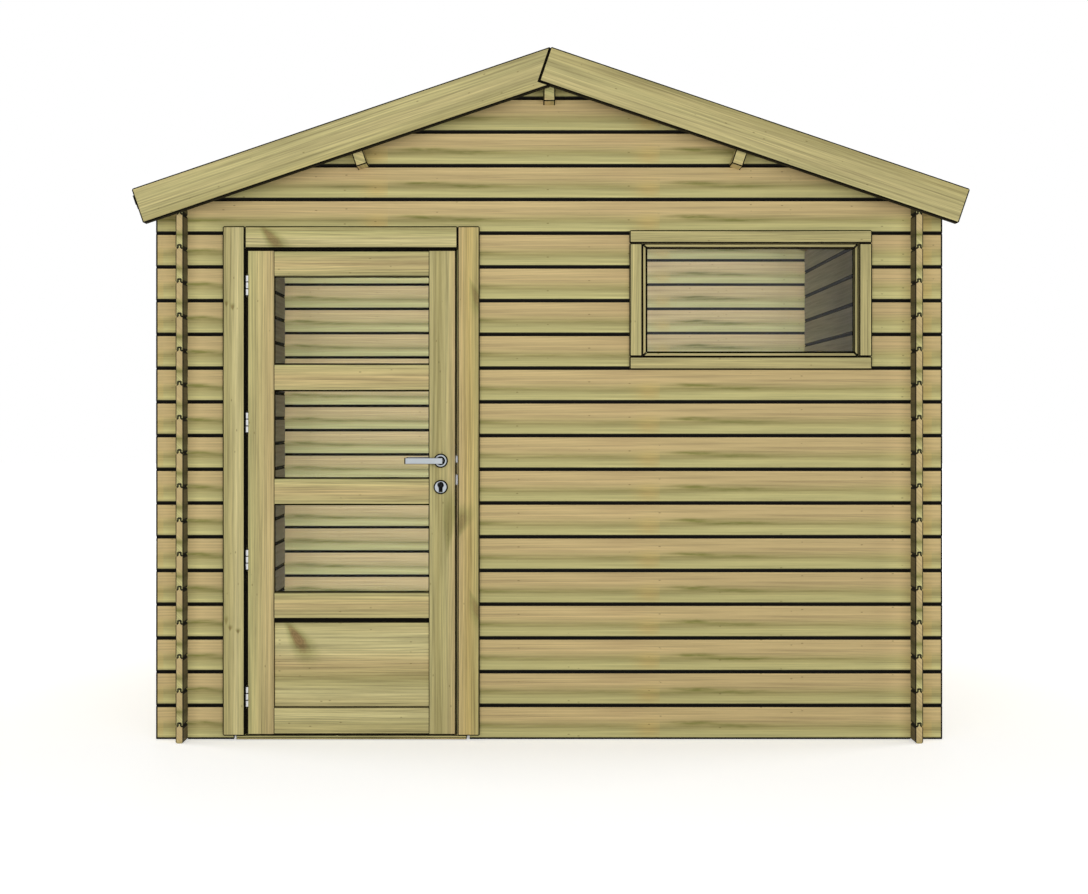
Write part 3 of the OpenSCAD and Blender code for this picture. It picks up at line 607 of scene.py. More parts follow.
@dataclass(frozen=True)
class BoardFinish:
    """Planed boards with a grain that follows each board.

    Attributes:
        name: The material's name.
        seed: Which part of the pattern the boards are cut from.
        green: How strong the green stripes are.
        knots: Knots on the front of the shed.
        bands: Colours from one long edge of a board to the other, or none for random ones.
        sway: How far the bands wander across a board, as a share of its width.
    """

    name: str
    seed: float = 0.0
    green: float = 0.5
    knots: tuple[Knot, ...] = ()
    bands: Bands = ()
    sway: float = 0.22

    def build(self, effects: Effects) -> bpy.types.Material:
        """Builds the material; returns it."""
        material, g, shader = new_material(self.name)
        along, across, depth = g.xyz(g.board("grain"))
        seed = g.add(g.node("Attribute", attribute_name="board").outputs["Fac"], self.seed)
        lane = g.add(across, g.mul(depth, 0.35))
        places = {"Along": along, "Across": lane, "Seed": seed, "Green": self.green}
        face = g.group(effects.board_face, places)
        colour = face.outputs[0]
        if self.bands:
            share = g.xyz(g.board("share"))[1]
            drift = g.grain(along, lane, (1.9, 6.0), seed, 3.0)
            colour = g.blend(0.85, colour, g.ramp(g.add(share, g.swing(drift, self.sway)), self.bands))
        place = g.place()
        for knot in self.knots:
            oval = {"X": knot.x, "Z": knot.z, "Long": knot.long, "Wide": knot.wide, "Dark": knot.dark}
            inputs = {"Base": colour, "Place": place, "Turn": math.radians(knot.turn), **oval}
            colour = g.group(effects.knot, inputs).outputs[0]
        fibres = g.group(effects.fibres, {"Along": along, "Across": lane, "Seed": seed})
        timber_surface(g, shader, colour, fibres, 0.0005, 2.1)
        return material


@dataclass(frozen=True)
class SeamFinish:
    """The dark line where two boards meet."""

    name: str = "seam"
    colour: Colour = SOOT

    def build(self) -> bpy.types.Material:
        """Builds the material; returns it."""
        material, g, shader = new_material(self.name)
        dust = g.noise(g.place(), 140.0, 2.0)
        g.feed(shader.inputs["Base Color"], g.blend(g.mul(dust, 0.3), self.colour, tint(34, 30, 22)))
        shader.inputs["Roughness"].default_value = 0.95
        shader.inputs["Specular IOR Level"].default_value = 0.05
        return material


@dataclass(frozen=True)
class MetalFinish:
    """Brushed or plated metal."""

    name: str
    colour: Colour
    rough: float = 0.0
    metallic: float = 1.0
    gloss: float = 0.5

    def build(self, effects: Effects) -> bpy.types.Material:
        """Builds the material; returns it."""
        material, g, shader = new_material(self.name)
        brushed = g.group(effects.brushed, {"Place": g.place()}).outputs
        g.feed(shader.inputs["Base Color"], g.lit(self.colour, g.add(1.0, brushed["Light"])))
        g.feed(shader.inputs["Roughness"], g.add(brushed["Roughness"], self.rough))
        shader.inputs["Metallic"].default_value = self.metallic
        shader.inputs["Specular IOR Level"].default_value = self.gloss
        return material


@dataclass(frozen=True)
class GlassFinish:
    """Clear sheet glass that lamps shine through."""

    name: str
    colour: Colour = tint(236, 242, 255)
    ior: float = 1.12

    def build(self) -> bpy.types.Material:
        """Builds the material; returns it."""
        material, g, shader = new_material(self.name)
        shader.inputs["Base Color"].default_value = self.colour
        shader.inputs["Roughness"].default_value = 0.0
        shader.inputs["Transmission Weight"].default_value = 1.0
        shader.inputs["IOR"].default_value = self.ior
        clear = g.node("BsdfTransparent", {"Color": self.colour})
        mixed = g.node("MixShader")
        g.feed(mixed.inputs[0], g.node("LightPath").outputs["Is Shadow Ray"])
        g.feed(mixed.inputs[1], shader.outputs[0])
        g.feed(mixed.inputs[2], clear.outputs[0])
        g.feed(material.node_tree.nodes["Material Output"].inputs["Surface"], mixed.outputs[0])
        return material


@dataclass(frozen=True)
class FeltFinish:
    """Mineral roofing felt: dark grey-green grit with worn patches."""

    name: str = "mineral_felt"

    def build(self) -> bpy.types.Material:
        """Builds the material; returns it."""
        material, g, shader = new_material(self.name)
        place = g.place()
        grit = g.node("TexVoronoi", {"Vector": place, "Scale": 420.0}, feature="F1")
        grey = [
            (0.0, tint(52, 56, 54)),
            (0.5, tint(74, 79, 75)),
            (0.9, tint(96, 102, 96)),
            (1.0, tint(140, 144, 138)),
        ]
        worn = g.mul(g.step(g.noise(place, 2.2, 4.0), 0.5, 0.75), 0.35)
        colour = g.blend(worn, g.ramp(g.xyz(grit.outputs["Color"])[0], grey), tint(88, 92, 80))
        g.feed(shader.inputs["Base Color"], colour)
        shader.inputs["Roughness"].default_value = 0.92
        shader.inputs["Specular IOR Level"].default_value = 0.2
        raised = g.node("Bump", {"Height": grit.outputs["Distance"], "Strength": 0.5, "Distance": 0.0012})
        g.feed(shader.inputs["Normal"], raised.outputs["Normal"])
        return material


# ------------------------------------------------------------------ bench tools


class Bench:
    """Modelling steps on one mesh object at a time, as at a bench."""

    @staticmethod
    def pick(obj: bpy.types.Object) -> None:
        """Selects this object alone and makes it the active one."""
        if bpy.context.mode != "OBJECT":
            bpy.ops.object.mode_set(mode="OBJECT")
        bpy.ops.object.select_all(action="DESELECT")
        obj.select_set(True)
        bpy.context.view_layer.objects.active = obj

    @staticmethod
    def edit(obj: bpy.types.Object) -> None:
        """Enters edit mode on this object's faces with nothing selected."""
        Bench.pick(obj)
        bpy.ops.object.mode_set(mode="EDIT")
        bpy.ops.mesh.select_mode(type="FACE")
        bpy.ops.mesh.select_all(action="DESELECT")

    @staticmethod
    def leave() -> None:
        """Leaves edit mode."""
        bpy.ops.object.mode_set(mode="OBJECT")

    @staticmethod
    def choose(obj: bpy.types.Object, test: Test) -> None:
        """Selects the faces that pass a test, from edit mode and back.

        Args:
            obj: The object in edit mode.
            test: Called with each face's middle and normal.
        """
        bpy.ops.mesh.select_all(action="DESELECT")
        bpy.ops.object.mode_set(mode="OBJECT")
        for face in obj.data.polygons:
            face.select = test(face.center, face.normal)
        bpy.ops.object.mode_set(mode="EDIT")

    @staticmethod
    def settle(obj: bpy.types.Object) -> None:
        """Puts an object's place into its mesh, so that it sits at the origin."""
        Bench.pick(obj)
        bpy.ops.object.transform_apply(location=True, rotation=True, scale=True)

    @staticmethod
    def bar(name: str, x: Span, y: Span, z: Span) -> bpy.types.Object:
        """Adds a block that fills a stretch along each axis; returns it."""
        low = Vector([min(stretch) for stretch in (x, y, z)])
        high = Vector([max(stretch) for stretch in (x, y, z)])
        bpy.ops.object.select_all(action="DESELECT")
        bpy.ops.mesh.primitive_cube_add(size=1.0, location=(low + high) / 2)
        obj = bpy.context.object
        obj.name = obj.data.name = name
        obj.scale = high - low
        Bench.settle(obj)
        return obj

    @staticmethod
    def rod(name: str, low: Vector, high: Vector, radius: float, sides: int = 32) -> bpy.types.Object:
        """Adds a round rod from one point to another; returns it."""
        axis = high - low
        bpy.ops.object.select_all(action="DESELECT")
        bpy.ops.mesh.primitive_cylinder_add(
            vertices=sides, radius=radius, depth=axis.length, location=(low + high) / 2,
            rotation=axis.to_track_quat("Z", "Y").to_euler(),
        )
        obj = bpy.context.object
        obj.name = obj.data.name = name
        Bench.settle(obj)
        return obj

    @staticmethod
    def ease(obj: bpy.types.Object, width: float, seam: int = -1, segments: int = 1) -> None:
        """Bevels the sharp edges.

        Args:
            obj: The piece.
            width: Width of the bevel in metres.
            seam: Index of the bevel's own material, or -1 for the one around it.
            segments: Number of faces across the bevel.
        """
        Bench.pick(obj)
        bevel = obj.modifiers.new("ease", "BEVEL")
        bevel.width, bevel.segments = width, segments
        bevel.limit_method, bevel.angle_limit = "ANGLE", math.radians(30.0)
        bevel.use_clamp_overlap = True
        bevel.miter_outer = "MITER_ARC" if segments > 1 else "MITER_SHARP"
        bevel.material = seam
        bpy.ops.object.modifier_apply(modifier=bevel.name)

    @staticmethod
    def smooth(obj: bpy.types.Object, angle: float = 30.0) -> None:
        """Shades the gentle bends smooth and keeps the sharp ones."""
        Bench.pick(obj)
        bpy.ops.object.shade_smooth_by_angle(angle=math.radians(angle))

    @staticmethod
    def slice_off(obj: bpy.types.Object, place: Vector, way: Vector) -> None:
        """Saws off what lies beyond a plane and closes the cut.

        Args:
            obj: The piece.
            place: A point of the plane.
            way: The plane's normal, towards the waste.
        """
        Bench.edit(obj)
        bpy.ops.mesh.select_all(action="SELECT")
        bpy.ops.mesh.bisect(plane_co=place, plane_no=way, use_fill=True, clear_outer=True)
        Bench.leave()

    @staticmethod
    def carve(obj: bpy.types.Object, cutter: bpy.types.Object) -> None:
        """Cuts one solid out of another and throws the cutter away."""
        Bench.pick(obj)
        cut = obj.modifiers.new("carve", "BOOLEAN")
        cut.operation, cut.object, cut.solver = "DIFFERENCE", cutter, "EXACT"
        bpy.ops.object.modifier_apply(modifier=cut.name)
        bpy.data.objects.remove(cutter)

    @staticmethod
    def repeat(obj: bpy.types.Object, count: int, step: Vector) -> None:
        """Lays copies in a row.

        Args:
            obj: The piece.
            count: How many there are in all.
            step: From one to the next.
        """
        Bench.pick(obj)
        row = obj.modifiers.new("row", "ARRAY")
        row.count, row.use_relative_offset, row.use_constant_offset = count, False, True
        row.constant_offset_displace = step
        bpy.ops.object.modifier_apply(modifier=row.name)

    @staticmethod
    def place(obj: bpy.types.Object, matrix: Matrix) -> bpy.types.Object:
        """Moves a piece by a matrix and settles it; returns it."""
        obj.matrix_world = matrix
        Bench.settle(obj)
        return obj

    @staticmethod
    def twin(obj: bpy.types.Object, matrix: Matrix) -> bpy.types.Object:
        """Copies a piece to another place, mirrored if the matrix mirrors; returns the copy."""
        made = obj.copy()
        made.data = obj.data.copy()
        bpy.context.scene.collection.objects.link(made)
        made.data.transform(matrix)
        if matrix.determinant() < 0.0:
            made.data.flip_normals()
        return made

    @staticmethod
    def crest(obj: bpy.types.Object, test: Test, inset: float, rise: Vector) -> None:
        """Insets the faces that pass a test and moves the inner part.

        Args:
            obj: The piece.
            test: Called with each face's middle and normal.
            inset: Width of the border in metres.
            rise: How the inner part moves.
        """
        Bench.edit(obj)
        Bench.choose(obj, test)
        bpy.ops.mesh.inset(thickness=inset, depth=0.0)
        bpy.ops.transform.translate(value=rise)
        Bench.leave()

    @staticmethod
    def join(objects: Sequence[bpy.types.Object], name: str) -> bpy.types.Object:
        """Joins objects into one named piece; returns it."""
        Bench.pick(objects[0])
        for other in objects[1:]:
            other.select_set(True)
        if len(objects) > 1:
            bpy.ops.object.join()
        made = bpy.context.object
        made.name = made.data.name = name
        return made

    @staticmethod
    def dress(obj: bpy.types.Object, *materials: bpy.types.Material) -> None:
        """Gives an object these materials in place of its own."""
        obj.data.materials.clear()
        for material in materials:
            obj.data.materials.append(material)

    @staticmethod
    def finish(
        obj: bpy.types.Object, material: bpy.types.Material, ease: float, segments: int = 1
    ) -> bpy.types.Object:
        """Eases a plain part and gives it one material; returns it."""
        Bench.ease(obj, ease, segments=segments)
        Bench.dress(obj, material)
        return obj


@dataclass
class Shop:
    """What every sub-assembly needs: the frame, the effects and the shared finishes."""

    frame: dict
    effects: Effects
    seam: bpy.types.Material
    pieces: list[bpy.types.Object] = field(default_factory=list)

    def copy(self, node: str, name: str, merge: float = 0.00002) -> bpy.types.Object:
        """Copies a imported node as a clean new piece.

        Args:
            node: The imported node.
            name: The new piece's name.
            merge: Distance under which corners become one, in metres.

        Returns:
            The piece, with whole flat faces.
        """
        mesh = self.frame["nodes"][node].data.copy()
        mesh.name = name
        obj = bpy.data.objects.new(name, mesh)
        bpy.context.scene.collection.objects.link(obj)
        Bench.pick(obj)
        if mesh.has_custom_normals:
            bpy.ops.mesh.customdata_custom_splitnormals_clear()
        bpy.ops.object.mode_set(mode="EDIT")
        bpy.ops.mesh.select_all(action="SELECT")
        bpy.ops.mesh.remove_doubles(threshold=merge)
        bpy.ops.mesh.select_all(action="SELECT")
        bpy.ops.mesh.dissolve_limited(angle_limit=math.radians(0.5))
        bpy.ops.object.mode_set(mode="OBJECT")
        bpy.ops.object.shade_flat()
        return obj

    def hand_in(self, obj: bpy.types.Object, body: Body, slot: Slot, *nodes: str) -> bpy.types.Object:
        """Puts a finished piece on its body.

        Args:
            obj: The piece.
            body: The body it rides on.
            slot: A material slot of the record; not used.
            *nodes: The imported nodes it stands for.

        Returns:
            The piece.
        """
        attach(obj, body.value)
        if nodes:
            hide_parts(*nodes)
        self.pieces.append(obj)
        LOG.info("%s rides on %s, %d faces", obj.name, body.value, len(obj.data.polygons))
        return obj

    def dress_node(self, node: str, material: bpy.types.Material) -> None:
        """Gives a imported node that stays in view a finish."""
        obj = self.frame["nodes"][node]
        if not obj.material_slots:
            obj.data.materials.append(material)
        for slot in obj.material_slots:
            slot.material = material
        LOG.info("%s keeps its shape, finish %s", node, material.name)


def islands(mesh: bpy.types.Mesh) -> list[list[int]]:
    """Returns the vertices of each loose part of a mesh."""
    parent = list(range(len(mesh.vertices)))

    def root(i: int) -> int:
        """Returns the part that vertex i belongs to."""
        while parent[i] != i:
            parent[i] = parent[parent[i]]
            i = parent[i]
        return i

    for edge in mesh.edges:
        a, b = root(edge.vertices[0]), root(edge.vertices[1])
        if a != b:
            parent[b] = a
    found: dict[int, list[int]] = {}
    for i in range(len(parent)):
        found.setdefault(root(i), []).append(i)
    return [found[k] for k in sorted(found)]


def reach_of(places: Sequence[Vector]) -> tuple[Vector, Vector]:
    """Returns the lowest and highest corner of the box round some places."""
    low = Vector([min(place[k] for place in places) for k in range(3)])
    high = Vector([max(place[k] for place in places) for k in range(3)])
    return low, high


def lay_grain(obj: bpy.types.Object, axis: Axis = Axis.LONGEST) -> None:
    """Writes each board's own grain: along, across and depth in metres, and a number of its own.

    Args:
        obj: The piece, each loose part of which is one board.
        axis: The way the fibres run.
    """
    mesh = obj.data
    count = len(mesh.vertices)
    grain, share, board = [0.0] * (3 * count), [0.0] * (3 * count), [0.0] * count
    fall = math.radians(ROOF_SLOPE)
    for number, part in enumerate(islands(mesh)):
        places = [mesh.vertices[i].co for i in part]
        low, high = reach_of(places)
        middle = (low + high) / 2
        if axis is Axis.LONGEST:
            order = sorted(range(3), key=lambda k: high[k] - low[k], reverse=True)
            ways = [Vector([float(k == j) for j in range(3)]) for k in order]
        else:
            turn = 1.0 if axis is Axis.SLOPE_RIGHT else -1.0
            ways = [
                Vector((turn * math.cos(fall), 0.0, -math.sin(fall))),
                Vector((turn * math.sin(fall), 0.0, math.cos(fall))),
                Vector((0.0, 1.0, 0.0)),
            ]
        own = math.fmod((number + 1) * 22.8672 + middle.x * 3.1 + middle.z * 1.7 + 50.0, 50.0)
        reach = [max(abs((place - middle).dot(way)) for place in places) for way in ways]
        for i, place in zip(part, places):
            offset = [(place - middle).dot(way) for way in ways]
            grain[3 * i : 3 * i + 3] = offset
            share[3 * i : 3 * i + 3] = [0.5 + 0.5 * o / r for o, r in zip(offset, reach)]
            board[i] = own
    for name, kind, values, key in (
        ("grain", "FLOAT_VECTOR", grain, "vector"),
        ("share", "FLOAT_VECTOR", share, "vector"),
        ("board", "FLOAT", board, "value"),
    ):
        mesh.attributes.new(name, kind, "POINT").data.foreach_set(key, values)


def choose_timber(obj: bpy.types.Object, seam: int, sort: Callable[[Vector], int]) -> None:
    """Gives each board one of the piece's materials.

    Args:
        obj: The piece.
        seam: Index of the seam's material, whose faces are left alone.
        sort: Says which material a board has, from its middle.
    """
    mesh = obj.data
    kind_of = [0] * len(mesh.vertices)
    for part in islands(mesh):
        low, high = reach_of([mesh.vertices[i].co for i in part])
        for i in part:
            kind_of[i] = sort((low + high) / 2)
    for face in mesh.polygons:
        if face.material_index != seam:
            face.material_index = kind_of[face.vertices[0]]


# ------------------------------------------------------------------ sub-assemblies


@dataclass
class LogWalls:
    """The four walls and the two gables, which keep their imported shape."""

    shop: Shop

    def build(self) -> None:
        """Dresses every wall."""
        # the side walls get painted shade on their inner faces
        side = {"side": True, "lift": -0.064, "phase": 0.33, "painted_shade": 0.85}
        front = ("front_wall_lower_logs", "front_wall_pier_logs", "front_wall_end_logs", "front_gable_logs")
        walls = (
            (LogFinish("front_logs", phase=0.42), front),
            (LogFinish("front_left_logs", phase=0.60), ("front_wall_left_logs",)),
            (LogFinish("back_logs", phase=-0.37), ("back_wall_logs", "back_gable_logs")),
            (LogFinish("left_side_logs", **side), ("left_wall_logs",)),
            (LogFinish("right_side_logs", inner=tint(181, 178, 159), **side), ("right_wall_logs",)),
        )
        for finish, nodes in walls:
            material = finish.build(self.shop.effects)
            for node in nodes:
                self.shop.dress_node(node, material)


@dataclass
class Joinery:
    """Boards that keep their packed sizes, with eased edges that read as dark seams."""

    shop: Shop

    def boards(
        self, node: str, name: str, finishes: BoardFinish | Sequence[BoardFinish], slot: Slot,
        ease: float = 0.002, body: Body = Body.SHED, axis: Axis = Axis.LONGEST,
        sort: Callable[[Vector], int] = lambda middle: 0, merge: float = 0.00002,
    ) -> bpy.types.Object:
        """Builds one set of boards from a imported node.

        Args:
            node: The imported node.
            name: The piece's name.
            finishes: Its timber, or several.
            slot: Its material slot.
            ease: Width of the eased edges in metres.
            body: The body it rides on.
            axis: The way the fibres run.
            sort: Says which of the finishes a board has, from its middle.
            merge: Distance under which corners become one, in metres.

        Returns:
            The piece.
        """
        kinds = [finishes] if isinstance(finishes, BoardFinish) else list(finishes)
        obj = self.shop.copy(node, name, merge)
        Bench.dress(obj, *(kind.build(self.shop.effects) for kind in kinds), self.shop.seam)
        Bench.ease(obj, ease, seam=len(kinds))
        lay_grain(obj, axis)
        if len(kinds) > 1:
            choose_timber(obj, len(kinds), sort)
        return self.shop.hand_in(obj, body, slot, node)


LEFT_BARGE_BANDS = bands(OLIVE, STRAW, STRAW, FAWN)
RIGHT_BARGE_BANDS = bands(STRAW, STRAW, FAWN, OLIVE)
CASING_BANDS = bands(FAWN, FAWN)


@dataclass
class RoofTimber(Joinery):
    """Purlins, bargeboards and eaves boards."""

    def build(self) -> None:
        """Builds the roof's own timber."""
        for number, node in enumerate(("ridge_purlin", "left_purlin", "right_purlin")):
            self.boards(node, node + "_beam", BoardFinish(node + "_pine", 3.0 + number), Slot.ROOF, 0.004)
        for number, node in enumerate(("left_eaves_board", "right_eaves_board")):
            self.boards(node, node + "_pine", BoardFinish(node + "_pine", 9.0 + number), Slot.ROOF, 0.0025)
        shaded = SeamFinish("shaded_edge", tint(46, 42, 28)).build()
        slopes = {"left": (Axis.SLOPE_LEFT, LEFT_BARGE_BANDS), "right": (Axis.SLOPE_RIGHT, RIGHT_BARGE_BANDS)}
        seed = 20.0
        for end in ("front", "back"):
            for side, (axis, across) in slopes.items():
                node = f"{end}_{side}_bargeboard"
                finish = BoardFinish(node + "_pine", seed, bands=across, sway=0.3)
                board = self.boards(node, node + "_pine", finish, Slot.ROOF, 0.0050, axis=axis, merge=0.0009)
                self._shade_underside(board, shaded)
                seed += 3.0

    @staticmethod
    def _shade_underside(board: bpy.types.Object, shaded: bpy.types.Material) -> None:
        """Darkens the edge that a bargeboard turns to the ground."""
        board.data.materials.append(shaded)
        for face in board.data.polygons:
            if face.normal.z < -0.8:
                face.material_index = len(board.data.materials) - 1


class Slope:
    """One slope of the roof; its own frame runs down it, back along the ridge and square to it."""

    DECK = 0.018

    def __init__(self, side: str) -> None:
        """Measures the slope on one side, which is left or right."""
        self.side = side
        self.sign = 1.0 if side == "right" else -1.0
        low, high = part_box(side + "_roof_boards")
        turn = math.radians(ROOF_SLOPE)
        far = max(abs(low.x), abs(high.x))
        self.length = (far - self.DECK * math.sin(turn)) / math.cos(turn)
        ridge = high.z - self.DECK / math.cos(turn)
        self.matrix = Matrix.Translation((0.0, 0.0, ridge)) @ Matrix.Rotation(self.sign * turn, 4, "Y")

    def slab(self, name: str, down: Span, back: Span, up: Span) -> bpy.types.Object:
        """Adds a block in the slope's own frame; returns it, not yet turned to the slope."""
        return Bench.bar(name, (self.sign * down[0], self.sign * down[1]), back, up)


@dataclass
class RoofSkin:
    """The roof boards and the felt over them, one slope at a time.

    Attributes:
        shop: The shop.
        boards: Number of boards on a slope.
        board_gap: Gap between two boards, in metres.
        seat: Gap between the deck and the felt.
        felt: Thickness of one strip.
        middle: Where the two strips meet, as a share of the slope.
        lap: How far the upper strip laps the lower one.
        cap: How far the ridge strip reaches down.
        drip: How far the felt turns down at the eaves.
        nail_pitch: Distance between two nails.
    """

    shop: Shop
    boards: int = 34
    board_gap: float = 0.0004
    seat: float = 0.00025
    felt: float = 0.003
    middle: float = 0.52
    lap: float = 0.08
    cap: float = 0.15
    drip: float = 0.032
    nail_pitch: float = 0.0746

    def build(self) -> None:
        """Builds both slopes."""
        timber = BoardFinish("deck_pine", 90.0).build(self.shop.effects)
        felt = FeltFinish().build()
        nail = MetalFinish("nail_zinc", tint(150, 154, 156), rough=0.25).build(self.shop.effects)
        for side in ("left", "right"):
            slope = Slope(side)
            self._deck(side, timber)
            self._felt(slope, felt)
            self._nails(slope, nail)

    def _deck(self, side: str, timber: bpy.types.Material) -> None:
        """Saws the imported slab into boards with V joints."""
        node = side + "_roof_boards"
        low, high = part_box(node)
        pitch = (high.y - low.y) / self.boards
        board = self.shop.copy(node, side + "_deck_boards")
        Bench.slice_off(board, Vector((0.0, low.y + pitch - self.board_gap, 0.0)), Vector((0.0, 1.0, 0.0)))
        Bench.dress(board, timber, self.shop.seam)
        Bench.ease(board, 0.0028, seam=1)
        Bench.repeat(board, self.boards, Vector((0.0, pitch, 0.0)))
        lay_grain(board, Axis.SLOPE_RIGHT if side == "right" else Axis.SLOPE_LEFT)
        self.shop.hand_in(board, Body.SHED, Slot.ROOF, node)

    def _felt(self, slope: Slope, felt: bpy.types.Material) -> None:
        """Lays two strips of felt, turned down over the eaves, and the ridge strip."""
        name, node = slope.side + "_felt_", slope.side + "_roof_felt"
        low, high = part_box(node)
        back = (low.y, high.y)
        base, middle, edge = slope.DECK + self.seat, slope.length * self.middle, slope.length + 0.0002
        top = base + self.felt
        lower = slope.slab(name + "low", (middle, edge), back, (base, top))
        upper = slope.slab(name + "high", (0.0, middle + self.lap), back, (base, top))
        cap = slope.slab(name + "cap", (-0.0083, self.cap), back, (top, top + self.felt))
        drip = slope.slab(name + "drip", (edge, edge + 0.0018), back, (base - self.drip, top))
        for part, cuts in ((lower, 14), (upper, 16), (cap, 8)):
            self._ripple(part, cuts)
        # the upper strip climbs onto the lower one
        rise = 0.03
        for vertex in upper.data.vertices:
            share = (abs(vertex.co.x) - middle + rise) / rise
            vertex.co.z += self.felt * min(max(share, 0.0), 1.0)
        parts = [lower, upper, cap, drip]
        for part in parts:
            Bench.place(part, slope.matrix)
            Bench.dress(part, felt)
        piece = Bench.join(parts, name + "strips")
        Bench.smooth(piece)
        self.shop.hand_in(piece, Body.SHED, Slot.FELT, node)

    @staticmethod
    def _ripple(part: bpy.types.Object, cuts: int) -> None:
        """Gives a flat strip the slight waves of felt laid by hand."""
        Bench.edit(part)
        Bench.choose(part, lambda middle, normal: abs(normal.z) > 0.9)
        bpy.ops.mesh.subdivide(number_cuts=cuts)
        bpy.ops.mesh.subdivide(number_cuts=1)
        Bench.leave()
        waves = bpy.data.textures.new(part.name + "_waves", "CLOUDS")
        waves.noise_scale = 0.22
        ripple = part.modifiers.new("ripple", "DISPLACE")
        ripple.texture, ripple.texture_coords, ripple.direction = waves, "LOCAL", "Z"
        ripple.strength, ripple.mid_level = 0.0022, 0.35
        bpy.ops.object.modifier_apply(modifier=ripple.name)

    def _nails(self, slope: Slope, zinc: bpy.types.Material) -> None:
        """Nails the felt along its laps and its eaves edge."""
        low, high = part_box(slope.side + "_roof_felt")
        margin = 0.025
        top = slope.DECK + self.seat + self.felt
        rows = (
            (slope.length - margin, top),
            (slope.length * self.middle + self.lap - 0.022, top + self.felt),
            (self.cap - 0.02, top + self.felt),
        )
        count = int((high.y - low.y - 2 * margin) / self.nail_pitch) + 1
        made = []
        for number, (down, up) in enumerate(rows):
            foot = Vector((slope.sign * down, low.y + margin, up - 0.0006))
            top = foot + Vector((0.0, 0.0, 0.0022))
            nail = Bench.rod(f"{slope.side}_nail_{number}", foot, top, 0.0048, 12)
            Bench.ease(nail, 0.0007)
            Bench.repeat(nail, count, Vector((0.0, self.nail_pitch, 0.0)))
            Bench.place(nail, slope.matrix)
            Bench.dress(nail, zinc)
            made.append(nail)
        piece = Bench.join(made, slope.side + "_felt_nails")
        Bench.smooth(piece, 50.0)
        self.shop.hand_in(piece, Body.SHED, Slot.ZINC)


